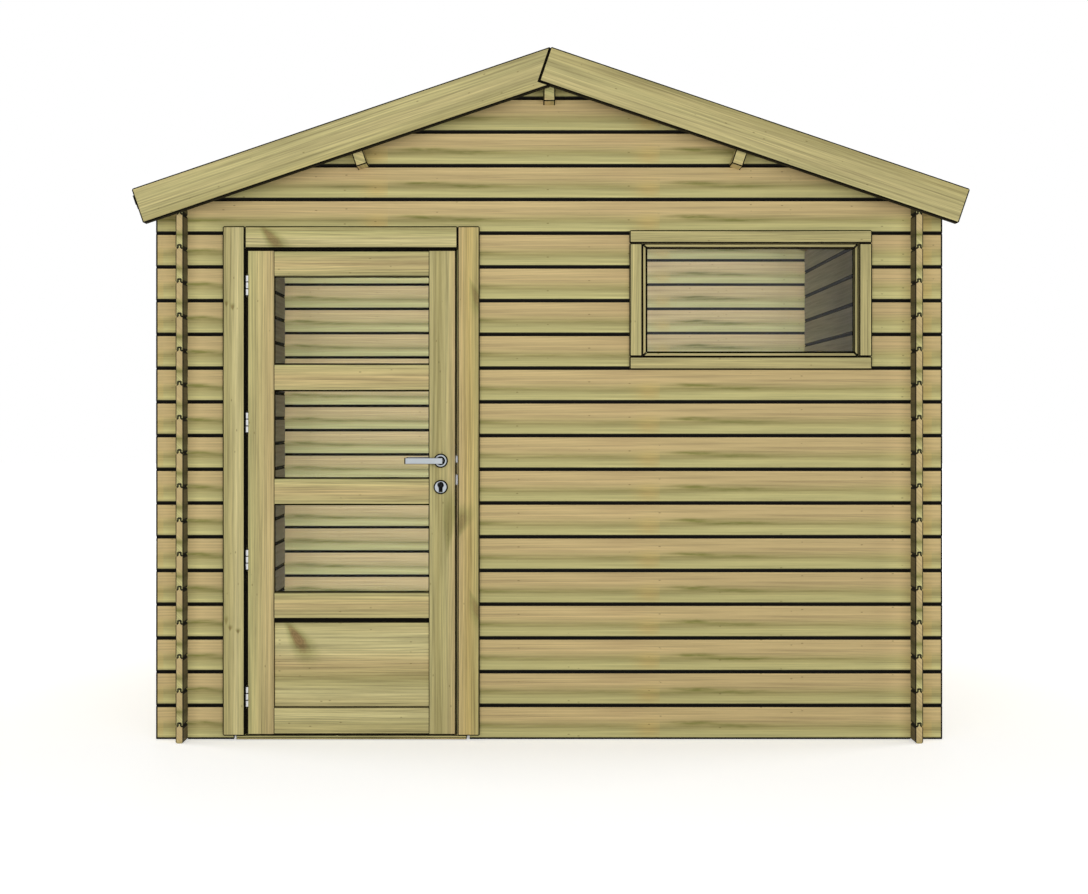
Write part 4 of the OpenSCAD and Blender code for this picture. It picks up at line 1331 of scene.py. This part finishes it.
@dataclass
class DoorFrame(Joinery):
    """Jambs, head, threshold, casings and the seal round the door, whose black bead and lips are also painted
    shade in the gap and on the reveal.

    Attributes:
        hair: Gap left between pieces that would else touch, in metres.
        seal_w: Width of the seal's bead at the hinges, at the lock and at the head.
        seal_y: Where the bead starts and ends behind the leaf's face.
        frame_w: Width of the jambs and the head.
        hinge_zone: Half height of the gap in the bead at a hinge.
        lips: Heights of the strike's lips above its foot.
        casing_w: Width of the outer casings.
    """

    hair: float = 0.0002
    seal_w: tuple[float, float, float] = (0.0056, 0.0046, 0.0048)
    seal_y: Span = (0.0015, 0.0060)
    frame_w: float = 0.0375
    hinge_zone: float = 0.045
    lips: tuple[Span, Span] = ((0.082, 0.120), (0.166, 0.192))
    casing_w: float = 0.0835

    def build(self) -> None:
        """Builds the door's frame."""
        for number, (node, ease) in enumerate(
            (("door_left_jamb", 0.0022), ("door_right_jamb", 0.0005), ("door_head", 0.0022))
        ):
            self.boards(node, node + "_pine", BoardFinish(node + "_pine", 31.0 + number), Slot.FRAME, ease)
        self._casings()
        self._seal()
        self._threshold()

    def _casings(self) -> None:
        """Builds the outer and inner casings, each outer one from a board of its own."""
        knots = (
            Knot(-1.051, 1.902, 0.050, 0.015, -50.0, 0.65),
            Knot(-1.199, 1.639, 0.008, 0.004, 90.0),
            Knot(-1.222, 1.652, 0.008, 0.004, 90.0),
            Knot(-1.208, 0.4235, 0.007, 0.004, 90.0),
            Knot(-1.178, 0.412, 0.006, 0.004, 90.0),
            Knot(-1.223, 0.452, 0.010, 0.004, 90.0, 0.4),
            Knot(-0.277, 1.680, 0.040, 0.013, -70.0, 0.5),
            Knot(-0.331, 0.826, 0.034, 0.016, 78.0, 0.5),
            Knot(-0.277, 0.500, 0.040, 0.013, -70.0, 0.5),
        )
        tones = {
            "left": bands(OLIVE, FAWN, CREAM, PALE),
            "right": bands(TAN, HONEY, OLIVE),
            "head": bands(STRAW, CREAM, PALE, OLIVE),
        }
        outer = [
            BoardFinish(f"casing_{name}_pine", 41.0 + number, knots=knots, bands=tone, sway=0.12)
            for number, (name, tone) in enumerate(tones.items())
        ]
        self.boards(
            "door_outer_casings", "door_outer_casings_pine", outer, Slot.FRAME, 0.0042,
            sort=lambda middle: 0 if middle.x < -1.15 else (1 if middle.x > -0.35 else 2),
        )
        inner = BoardFinish("inner_casing_pine", 45.0, bands=CASING_BANDS)
        self.boards("door_inner_casings", "door_inner_casings_pine", inner, Slot.FRAME, 0.0025)

    def _threshold(self) -> None:
        """Builds the threshold: a sill board on a packing board, with a dark line between."""
        low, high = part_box("door_threshold")
        middle = low.z + 0.43 * (high.z - low.z)
        x, line, setback = (low.x, high.x), 0.0001, 0.0006
        upper = Bench.bar("sill", x, (low.y, high.y), (middle + line, high.z))
        lower = Bench.bar("packing", x, (low.y + setback, high.y), (low.z, middle - line))
        timber = BoardFinish("threshold_pine", 34.0).build(self.shop.effects)
        for part in (upper, lower):
            Bench.dress(part, timber, self.shop.seam)
            Bench.ease(part, 0.0016, seam=1)
        piece = Bench.join([upper, lower], "door_threshold_pine")
        lay_grain(piece)
        self.shop.hand_in(piece, Body.SHED, Slot.FRAME, "door_threshold")

    def _seal(self) -> None:
        """Sets a black bead in the gap round the leaf, a seal that is also painted shade there, and thin
        black lips on the frame's front, painted shade on the reveal and the casings' inner edges.
        """
        piece = Bench.join(self._beads() + self._lips(), "door_frame_seal_and_shade")
        Bench.smooth(piece, 40.0)
        self.shop.hand_in(piece, Body.SHED, Slot.FRAME)

    def _opening(self) -> tuple[float, float, float]:
        """Returns the left, right and upper edge of the opening between the jambs."""
        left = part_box("door_left_jamb")[0].x + self.frame_w
        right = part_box("door_right_jamb")[1].x - self.frame_w
        return left, right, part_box("door_head")[1].z - self.frame_w

    def _beads(self) -> list[bpy.types.Object]:
        """Makes the black bead in the gap, a seal that is also painted shade there, with room for the hinges
        and the strike's lips; returns its parts.
        """
        leaf_low, leaf_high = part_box("door_stiles")
        left, right, head = self._opening()
        y = (leaf_low.y + self.seal_y[0], leaf_low.y + self.seal_y[1])
        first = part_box("hinge_door_leaves")[0].z + HINGE_HALF
        middles = [first + HINGE_PITCH * k for k in range(HINGES)]
        hinges = [(middle - self.hinge_zone, middle + self.hinge_zone) for middle in middles]
        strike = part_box("strike_plate")[0].z
        lips = [(strike + low - 0.001, strike + high + 0.001) for low, high in self.lips]
        sides = (
            ("seal_left", (left + self.hair, left + self.seal_w[0]), hinges),
            ("seal_right", (right - self.seal_w[1], right - self.hair), lips),
        )
        parts = []
        for name, x, gaps in sides:
            stops = [leaf_low.z + 0.002, *(edge for gap in gaps for edge in gap), leaf_high.z]
            for k in range(len(gaps) + 1):
                parts.append(Bench.bar(f"{name}_{k}", x, y, (stops[2 * k], stops[2 * k + 1])))
        across, up = (left + self.hair, right - self.hair), (head - self.seal_w[2], head - self.hair)
        parts.append(Bench.bar("seal_head", across, y, up))
        # the bead is black both as a seal and as painted shade in the gap
        return [Bench.finish(part, self.shop.seam, 0.0012, 2) for part in parts]

    def _lips(self) -> list[bpy.types.Object]:
        """Makes the black lips on the casings' inner edges and the black strips over the frame's reveal, all
        painted shade; returns them.
        """
        leaf_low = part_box("door_stiles")[0]
        left, right, head = self._opening()
        low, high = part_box("door_outer_casings")
        edge_x, edge_z = low.x + self.casing_w, high.z - self.casing_w
        lip, lip_y = 0.0005, (low.y + 0.0040, leaf_low.y - 0.0003)
        reveal_shade_y = (leaf_low.y - 0.0012, leaf_low.y)
        parts = (
            Bench.bar("lip_left", (edge_x, edge_x + lip), lip_y, (leaf_low.z, edge_z)),
            Bench.bar("lip_head", (edge_x, high.x - self.casing_w), lip_y, (edge_z - lip, edge_z)),
            # black strips over the frame's reveal, painted shade between the casings and the leaf
            Bench.bar("reveal_shade_left", (edge_x, left), reveal_shade_y, (leaf_low.z, edge_z)),
            Bench.bar("reveal_shade_head", (edge_x, right), reveal_shade_y, (head, edge_z)),
        )
        return [Bench.finish(part, self.shop.seam, 0.0002, 2) for part in parts]


def gasket(
    name: str, seam: bpy.types.Material, x: Span, front: float, z: Span, width: float, depth: float
) -> bpy.types.Object:
    """Builds the black seal round one pane: a frame of four eased strips.

    Args:
        name: Its name.
        seam: The black finish.
        x: The pane's left and right edge.
        front: The pane's face.
        z: The pane's lower and upper edge.
        width: How far the seal reaches over the glass, in metres.
        depth: How far it stands out.

    Returns:
        The seal.
    """
    lap = 0.0004
    y = (front - 0.0001 - depth, front - 0.0001)
    ring = Bench.bar(name, (x[0] - lap, x[1] + lap), y, (z[0] - lap, z[1] + lap))
    Bench.edit(ring)
    Bench.choose(ring, lambda middle, normal: abs(normal.y) > 0.9)
    bpy.ops.mesh.inset(thickness=width, depth=0.0, use_boundary=True)
    bpy.ops.mesh.bridge_edge_loops()
    Bench.leave()
    return Bench.finish(ring, seam, 0.0004)


@dataclass
class Window(Joinery):
    """The fixed window: frame, casings, beads and glass."""

    bead: float = 0.016
    seal_w: float = 0.0045

    def build(self) -> None:
        """Builds the window."""
        parts = (
            ("window_frame", BoardFinish("window_frame_pine", 51.0), 0.0015),
            ("window_outer_casings", BoardFinish("window_casing_pine", 55.0, bands=CASING_BANDS), 0.0045),
            ("window_inner_casings", BoardFinish("window_inner_pine", 58.0, bands=CASING_BANDS), 0.0025),
            ("window_beads", BoardFinish("bead_pine", 61.0, bands=CASING_BANDS), 0.0036),
        )
        for node, finish, ease in parts:
            self.boards(node, node + "_pine", finish, Slot.FRAME, ease)
        glass = GlassFinish("window_glass", tint(233, 239, 255), ior=1.28)
        self.shop.dress_node("window_glass", glass.build())
        low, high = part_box("window_glass")
        inset = self.bead - (low.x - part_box("window_beads")[0].x)
        x, z = (low.x + inset, high.x - inset), (low.z + inset, high.z - inset)
        seal = gasket("window_glass_seal", self.shop.seam, x, low.y, z, self.seal_w, 0.0015)
        self.shop.hand_in(seal, Body.SHED, Slot.FRAME)


@dataclass
class DoorLeaf(Joinery):
    """The leaf: stiles, rails, panel and its three panes.

    Attributes:
        stile_w: Width of a stile in metres.
        seal_w: How far a pane's seal reaches over the glass.
        panel_top: Upper edge of the panel's thick field.
        lap: How far the panel's thin edge reaches into the stiles.
        edge_cheek: How far the thin edge lies behind the panel's face.
        panes: Lower and upper edge of each pane.
    """

    stile_w: float = 0.097
    seal_w: float = 0.0046
    panel_top: float = 0.4440
    lap: float = 0.0076
    edge_cheek: float = 0.0045
    panes: tuple[Span, ...] = ((0.5575, 0.8915), (0.9905, 1.3245), (1.4235, 1.7575))

    def build(self) -> None:
        """Builds the leaf."""
        lock_knot = Knot(-0.379, 0.823, 0.070, 0.013, 86.0, 0.2)
        stiles = (
            BoardFinish("stile_left_pine", 71.0, bands=bands(PALE, TAN)),
            BoardFinish("stile_right_pine", 72.0, knots=(lock_knot,), bands=bands(STRAW, OLIVE, STRAW, TAN)),
        )
        rails = (
            BoardFinish("rail_low_pine", 76.0, bands=bands(FAWN, FAWN, CREAM, STRAW)),
            BoardFinish("rail_pine", 77.0, bands=bands(FAWN, TAN, PALE)),
        )
        self.boards(
            "door_stiles", "door_stiles_pine", stiles, Slot.DOOR, 0.0011, Body.DOOR,
            sort=lambda middle: int(middle.x > -0.75),
        )
        self.boards(
            "door_rails", "door_rails_pine", rails, Slot.DOOR, 0.0040, Body.DOOR,
            sort=lambda middle: int(middle.z > 0.2),
        )
        self._panel()
        self.shop.dress_node("door_glass", GlassFinish("door_glass").build())
        self._seals()

    def _seals(self) -> None:
        """Sets the black seals round the three panes and the brush under the leaf."""
        low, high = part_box("door_stiles")
        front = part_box("door_glass")[0].y
        x = (low.x + self.stile_w, high.x - self.stile_w)
        parts = [
            gasket(f"pane_seal_{number}", self.shop.seam, x, front, pane, self.seal_w, 0.0017)
            for number, pane in enumerate(self.panes)
        ]
        setback = 0.003
        brush = Bench.bar(
            "leaf_brush", (low.x + setback, high.x - setback), (low.y + setback, low.y + 0.010),
            (low.z - 0.0048, low.z - 0.0001),
        )
        parts.append(Bench.finish(brush, self.shop.seam, 0.0006))
        self.shop.hand_in(Bench.join(parts, "door_leaf_seals"), Body.DOOR, Slot.DOOR)

    def _panel(self) -> None:
        """Builds the panel: a thick field with a gap above it, and the thin edge behind, all black as painted
        shade in that gap.
        """
        low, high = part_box("door_panel")
        tones = bands(STRAW, CREAM, OLIVE, TAN, CREAM, CREAM, FAWN)
        knots = (Knot(-0.957, 0.383, 0.056, 0.018, -56.0, 0.9),)
        finish = BoardFinish("panel_pine", 81.0, knots=knots, bands=tones, sway=0.10)
        thick = Bench.bar(
            "panel_field",
            (low.x + self.lap, high.x - self.lap),
            (low.y, high.y),
            (low.z + self.lap, self.panel_top),
        )
        Bench.dress(thick, finish.build(self.shop.effects), self.shop.seam)
        Bench.ease(thick, 0.0030, seam=1)
        y = (low.y + self.edge_cheek, high.y - self.edge_cheek)
        # the thin edge takes the black seam finish: painted shade in the gap above the field
        edge = Bench.bar("panel_edge_painted_shade", (low.x, high.x), y, (low.z, high.z))
        piece = Bench.join([thick, Bench.finish(edge, self.shop.seam, 0.001)], "door_panel_pine")
        lay_grain(piece)
        self.shop.hand_in(piece, Body.DOOR, Slot.DOOR, "door_panel")


@dataclass
class Ironmongery:
    """Hinges, strike, lock, roses, cylinder and levers.

    Attributes:
        shop: The shop.
        lock_y: Middle of the lock, front to back, in metres.
        screw_r: Radius of a screw head.
        bush_r: Radius of the bush round a lever's neck.
        rim_w: Width of a rose's black rim.
        knuckle: Pitch of the hinges' knuckles.
        ring_half: Half height of the black ring between two knuckles.
        ring_r: Its radius.
        plug_r: Radius of the lock cylinder's plug.
        head_r: Radius of the lock cylinder's head.
        lever_half: Half height of a lever.
    """

    shop: Shop
    lock_y: float = -1.380
    screw_r: float = 0.0034
    bush_r: float = 0.0168
    rim_w: float = 0.0047
    knuckle: float = 0.026
    ring_half: float = 0.0020
    ring_r: float = 0.00525
    plug_r: float = 0.0060
    head_r: float = 0.0085
    lever_half: float = 0.012

    def build(self) -> None:
        """Builds all the metalwork."""
        effects = self.shop.effects
        bright = MetalFinish("brushed_steel", tint(176, 182, 187), rough=0.10, metallic=0.55)
        zinc = MetalFinish("zinc_plate", tint(228, 230, 232), rough=0.16, metallic=0.35)
        dark = MetalFinish("dark_steel", tint(26, 27, 28), rough=0.20, metallic=0.3, gloss=0.2)
        black = MetalFinish("black_nickel", tint(12, 12, 13), rough=0.30, metallic=0.0, gloss=0.08)
        self.bright, self.zinc = bright.build(effects), zinc.build(effects)
        self.dark, self.black = dark.build(effects), black.build(effects)
        for node, body, ease in (
            ("hinge_jamb_leaves", Body.SHED, 0.0007),
            ("hinge_door_leaves", Body.DOOR, 0.0007),
            ("hinge_pins", Body.SHED, 0.0007),
            ("strike_plate", Body.SHED, 0.0005),
            ("door_lock", Body.DOOR, 0.0006),
        ):
            self._plated(node, body, ease)
        self._screws()
        self._bushes()
        self._roses()
        self._cylinder()
        self._lever()

    def _plated(self, node: str, body: Body, ease: float) -> None:
        """Copies a pressed steel part, with dark eased edges."""
        obj = self.shop.copy(node, node + "_zinc")
        Bench.dress(obj, self.zinc, self.black)
        Bench.ease(obj, ease, seam=1)
        Bench.smooth(obj)
        self.shop.hand_in(obj, body, Slot.ZINC, node)

    def _screw(self, name: str, at: Vector, way: Vector) -> bpy.types.Object:
        """Models a countersunk screw head with a cross recess.

        Args:
            name: Its name.
            at: The middle of the head, on the surface it holds.
            way: The way the head faces.

        Returns:
            The screw.
        """
        parts = [Bench.rod(name, Vector((0, 0, -0.0010)), Vector((0, 0, 0.0005)), self.screw_r, 20)]
        Bench.finish(parts[0], self.zinc, 0.0003)
        long, wide = 0.0021, 0.00035
        for x, y in ((long, wide), (wide, long)):
            slot = Bench.bar(name + "_slot", (-x, x), (-y, y), (0.0, 0.00052))
            Bench.dress(slot, self.black)
            parts.append(slot)
        turn = way.to_track_quat("Z", "Y").to_matrix().to_4x4()
        return Bench.place(Bench.join(parts, name), Matrix.Translation(at) @ turn)

    def _screws(self) -> None:
        """Puts the screws in the hinges, the strike and the lock's forend."""
        leaf_low, leaf_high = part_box("door_stiles")
        gap_x, plate = leaf_low.x - 0.0035, 0.0015
        made = {
            Body.SHED: self._hinge_screws(Body.SHED, gap_x - plate, 1.0),
            Body.DOOR: self._hinge_screws(Body.DOOR, gap_x + plate, -1.0),
        }
        strike_low, strike_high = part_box("strike_plate")
        margin = 0.010
        for body, name, x, way in (
            (Body.SHED, "strike_screw", strike_high.x - 0.0050, -1.0),
            (Body.DOOR, "lock_screw", leaf_high.x, 1.0),
        ):
            for z in (strike_low.z + margin, strike_high.z - margin):
                made[body].append(self._screw(name, Vector((x, self.lock_y, z)), Vector((way, 0.0, 0.0))))
        for body, screws in made.items():
            piece = Bench.join(screws, body.value + "_screws")
            Bench.smooth(piece)
            self.shop.hand_in(piece, body, Slot.ZINC)

    def _hinge_screws(self, body: Body, x: float, way: float) -> list[bpy.types.Object]:
        """Models one screw and copies it to every hinge; returns the copies."""
        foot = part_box("hinge_door_leaves")[0].z
        near, shift = -1.391, 0.0105
        first = self._screw("screw_" + body.value, Vector((x, near, foot)), Vector((way, 0.0, 0.0)))
        copies = []
        for k in range(HINGES):
            for number in range(4):
                up = 0.012 + 0.018 * number + HINGE_PITCH * k
                copies.append(Bench.twin(first, Matrix.Translation((0.0, shift * (number % 2), up))))
        bpy.data.objects.remove(first)
        return copies

    def _bushes(self) -> None:
        """Puts black bushes between the hinges' knuckles."""
        pin_low, pin_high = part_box("hinge_pins")
        middle = (pin_low + pin_high) / 2
        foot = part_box("hinge_door_leaves")[0].z
        half = Vector((0.0, 0.0, self.ring_half))
        rings = []
        for k in range(HINGES):
            for level in range(4):
                at = Vector((middle.x, middle.y, foot + HINGE_PITCH * k + self.knuckle * level))
                ring = Bench.rod("hinge_ring", at - half, at + half, self.ring_r, 24)
                rings.append(Bench.finish(ring, self.shop.seam, 0.0003))
        piece = Bench.join(rings, "hinge_bushes")
        Bench.smooth(piece)
        self.shop.hand_in(piece, Body.SHED, Slot.ZINC)

    @staticmethod
    def _disc(name: str, x: float, y: Span, z: float, radius: float, sides: int = 40) -> bpy.types.Object:
        """Turns a round part whose axis runs front to back; returns it."""
        return Bench.rod(name, Vector((x, y[0], z)), Vector((x, y[1], z)), radius, sides)

    def _roses(self) -> None:
        """Builds the four roses: a steel face in a black rim, the upper pair with a black bush."""
        low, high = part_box("door_roses")
        leaf_low, leaf_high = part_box("door_rails")
        lever_low, lever_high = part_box("door_lever")
        x, radius = (low.x + high.x) / 2, (high.x - low.x) / 2
        lever_z, key_z = (lever_low.z + lever_high.z) / 2, low.z + radius
        cutter_y = (low.y - 0.01, high.y + 0.01)
        seam = self.shop.seam
        parts = []
        for face, wood, way in ((low.y, leaf_low.y, 1.0), (high.y, leaf_high.y, -1.0)):
            for z in (lever_z, key_z):
                rim = self._disc("rose_rim", x, (face + way * 0.0022, wood), z, radius, 64)
                plate = self._disc("rose_face", x, (face, face + way * 0.0040), z, radius - self.rim_w, 64)
                rose = [Bench.finish(rim, seam, 0.0005, 2), Bench.finish(plate, self.bright, 0.0008, 3)]
                if z == key_z:
                    rose += self._inlay(x, (face - way * 0.0003, face + way * 0.0010))
                    for part in rose:
                        self._keyhole(part, x, cutter_y)
                parts += rose
            bush = self._disc("bush", x, (face - way * 0.0022, face + way * 0.001), lever_z, self.bush_r, 48)
            parts.append(Bench.finish(bush, seam, 0.0008, 2))
        piece = Bench.join(parts, "door_roses_steel")
        Bench.smooth(piece)
        self.shop.hand_in(piece, Body.DOOR, Slot.BRIGHT, "door_roses")

    def _profile(
        self, name: str, x: float, y: Span, radius: float, half: float, drop: float
    ) -> list[bpy.types.Object]:
        """Makes a keyhole's shape: a round head on a narrow foot.

        Args:
            name: What its two parts' names begin with.
            x: Its middle, across.
            y: Where it starts and ends.
            radius: Radius of the head.
            half: Half width of the foot.
            drop: How far the foot ends below the top of the lock cylinder.

        Returns:
            The head and the foot.
        """
        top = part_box("lock_cylinder")[1].z
        centre = top - self.head_r
        head = self._disc(name + "_head", x, y, centre, radius)
        return [head, Bench.bar(name + "_foot", (x - half, x + half), y, (top - drop, centre))]

    def _inlay(self, x: float, y: Span) -> list[bpy.types.Object]:
        """Lays a black border round the keyhole; returns its parts, not yet cut open."""
        parts = self._profile("key_inlay", x, y, 0.0122, 0.0073, 0.0360)
        for part in parts:
            Bench.dress(part, self.shop.seam)
        return parts

    def _keyhole(self, part: bpy.types.Object, x: float, y: Span) -> None:
        """Cuts the cylinder's round head and narrow foot out of a part of a rose."""
        for cutter in self._profile("key", x, y, 0.0098, 0.0062, 0.0335):
            Bench.carve(part, cutter)

    def _cylinder(self) -> None:
        """Builds the lock cylinder with its plug and keyway at both ends."""
        body = self.shop.copy("lock_cylinder", "lock_cylinder_black")
        Bench.dress(body, self.black)
        Bench.ease(body, 0.0006, segments=2)
        Bench.smooth(body)
        low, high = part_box("lock_cylinder")
        x, z = (low.x + high.x) / 2, high.z - self.head_r
        parts = [body]
        for y, way in ((low.y, -1.0), (high.y, 1.0)):
            plug = self._disc("plug", x, (y - way * 0.004, y + way * 0.0006), z, self.plug_r)
            parts.append(Bench.finish(plug, self.dark, 0.0004, 2))
            for foot, top, half in ((-0.0040, 0.0005, 0.0006), (0.0, 0.0038, 0.0011)):
                keyway = Bench.bar(
                    "keyway", (x - half, x + half), (y - way * 0.002, y + way * 0.0007), (z + foot, z + top)
                )
                Bench.dress(keyway, self.shop.seam)
                parts.append(keyway)
        self.shop.hand_in(Bench.join(parts, "lock_cylinder_black"), Body.DOOR, Slot.BRIGHT, "lock_cylinder")

    def _lever(self) -> None:
        """Builds both levers: flat bars on round necks, joined by the square spindle."""
        low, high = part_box("door_lever")
        middle = (low + high) / 2
        face, x, z, tip = low.y, high.x - 0.013, middle.z, low.x + 0.0030
        back, up = face + 0.009, (z - self.lever_half, z + self.lever_half)
        cap = Bench.bar("lever_cap", (low.x, tip), (face + 0.0002, back), up)
        Bench.finish(cap, self.black, 0.0008)
        bar = Bench.bar("lever_bar", (tip, x + 0.0095), (face, back), up)
        Bench.dress(bar, self.bright, self.black)
        Bench.crest(bar, lambda middle, normal: normal.y < -0.9, 0.0018, Vector((0.0, -0.0003, 0.0)))
        Bench.ease(bar, 0.0016, seam=1)
        neck = self._disc("lever_neck", x, (face + 0.0085, face + 0.0435), z, 0.0100)
        Bench.dress(neck, self.bright)
        Bench.crest(neck, lambda middle, normal: normal.y < -0.9, 0.0005, Vector((0.0, -0.0002, 0.0)))
        collar = self._disc("lever_collar", x, (face + 0.0385, face + 0.0430), z, 0.0130)
        Bench.finish(collar, self.black, 0.0012, 3)
        outer = Bench.join([bar, cap, neck, collar], "outer_lever")
        flip = Matrix.Translation((0.0, 2 * middle.y, 0.0)) @ Matrix.Diagonal((1.0, -1.0, 1.0, 1.0))
        inner = Bench.twin(outer, flip)
        half, inset = 0.0035, 0.03
        spindle = Bench.bar(
            "spindle", (x - half, x + half), (low.y + inset, high.y - inset), (z - half, z + half)
        )
        Bench.dress(spindle, self.zinc)
        piece = Bench.join([outer, inner, spindle], "door_levers_steel")
        Bench.smooth(piece)
        self.shop.hand_in(piece, Body.LEVER, Slot.BRIGHT, "door_lever")


# ------------------------------------------------------------------ studio


@dataclass(frozen=True)
class Lamp:
    """A soft rectangular lamp: place, aim and size in metres, power in watts, spread in degrees."""

    name: str
    place: tuple[float, float, float]
    aim: tuple[float, float, float]
    size: tuple[float, float]
    power: float
    spread: float = 180.0

    def hang(self) -> None:
        """Adds the lamp to the scene; rays that show the surroundings pass it by."""
        data = bpy.data.lights.new(self.name, "AREA")
        data.shape, data.energy, data.spread = "RECTANGLE", self.power, math.radians(self.spread)
        data.size, data.size_y = self.size
        lamp = bpy.data.objects.new(self.name, data)
        bpy.context.scene.collection.objects.link(lamp)
        lamp.location = self.place
        lamp.rotation_euler = (Vector(self.aim) - Vector(self.place)).to_track_quat("-Z", "Y").to_euler()
        lamp.visible_camera = lamp.visible_glossy = lamp.visible_transmission = False


LAMPS = (
    Lamp("key", (0.0, -11.0, 1.7), (0.0, -1.4, 1.3), (13.0, 6.0), 790.0),
    Lamp("back_fill", (0.0, 10.0, 3.4), (0.0, 1.4, 1.3), (10.0, 6.0), 420.0),
    Lamp("left_fill", (-9.0, 1.5, 3.4), (-1.4, 0.6, 1.3), (5.0, 5.0), 260.0),
    Lamp("right_fill", (9.0, 1.5, 3.4), (1.4, 0.6, 1.3), (5.0, 5.0), 260.0),
    Lamp("inside", (0.0, 0.35, 1.15), (0.0, 1.4, 1.15), (2.72, 2.22), 18.5, spread=30.0),
)


@dataclass
class Studio:
    """Floor, surroundings, lamps and camera.

    Attributes:
        floor_half: Half width of the floor in metres.
        glow: How far the floor shines by itself, under the shed and far away.
        glow_reach: Where that glow starts to rise and where it is full.
        world_level: Light of the surroundings.
        lens: Focal length in millimetres on a sensor 36 mm wide.
        shift: How far the lens is shifted, as a share of the sensor's width.
        stand: Where the camera stands.
    """

    floor_half: float = 40.0
    glow: Span = (0.45, 1.0)
    glow_reach: Span = (4.0, 10.0)
    world_level: float = 0.33
    lens: float = 61.875
    shift: Span = (0.009651, -0.028217)
    stand: tuple[float, float, float] = (-0.0595, -8.497, 1.226)

    def build(self) -> None:
        """Sets up everything around the shed."""
        self._floor()
        self._world()
        self._camera()
        for lamp in LAMPS:
            lamp.hang()
        bpy.context.scene.view_settings.view_transform = "Standard"

    def _floor(self) -> None:
        """Lays the pale floor, which keeps the shed's shadow and turns white far away."""
        bpy.ops.object.select_all(action="DESELECT")
        bpy.ops.mesh.primitive_plane_add(size=2 * self.floor_half, location=(0.0, 0.0, 0.0))
        floor = bpy.context.object
        floor.name = "floor"
        Bench.settle(floor)
        material, g, shader = new_material("pale_floor")
        speck = g.noise(g.place(), 30.0, 3.0)
        g.feed(shader.inputs["Base Color"], g.blend(speck, tint(246, 246, 246), tint(250, 250, 249)))
        shader.inputs["Roughness"].default_value = 0.9
        shader.inputs["Specular IOR Level"].default_value = 0.0
        x, y, _ = g.xyz(g.place())
        away = g.math("SQRT", g.add(g.mul(x, x), g.mul(y, y)))
        shader.inputs["Emission Color"].default_value = (1.0, 1.0, 1.0, 1.0)
        g.feed(shader.inputs["Emission Strength"], g.mul(g.seen(), g.step(away, *self.glow_reach, self.glow)))
        Bench.dress(floor, material)

    def _world(self) -> None:
        """Makes the white surroundings, which light the shed softly."""
        world = bpy.data.worlds.new("surroundings")
        bpy.context.scene.world = world
        world.use_nodes = True
        g = Graph(world.node_tree)
        back = world.node_tree.nodes["Background"]
        back.inputs["Color"].default_value = (1.0, 1.0, 1.0, 1.0)
        g.feed(back.inputs["Strength"], g.step(g.seen(), 0.0, 1.0, (self.world_level, 1.0)))

    def _camera(self) -> None:
        """Stands the camera before the front wall, level and a little left of its middle."""
        data = bpy.data.cameras.new("camera")
        data.sensor_width, data.lens = 36.0, self.lens
        data.shift_x, data.shift_y = self.shift
        camera = bpy.data.objects.new("camera", data)
        bpy.context.scene.collection.objects.link(camera)
        camera.location = self.stand
        camera.rotation_euler = (math.pi / 2, 0.0, 0.0)
        bpy.context.scene.camera = camera


def main() -> None:
    """Builds the shed's looks, piece by piece."""
    logging.basicConfig(level=logging.INFO, format="%(message)s")
    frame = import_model()
    Studio().build()
    shop = Shop(frame, Effects(), SeamFinish().build())
    LogWalls(shop).build()
    RoofTimber(shop).build()
    DoorFrame(shop).build()
    Window(shop).build()
    DoorLeaf(shop).build()
    Ironmongery(shop).build()
    RoofSkin(shop).build()


if __name__ == "__main__":
    main()
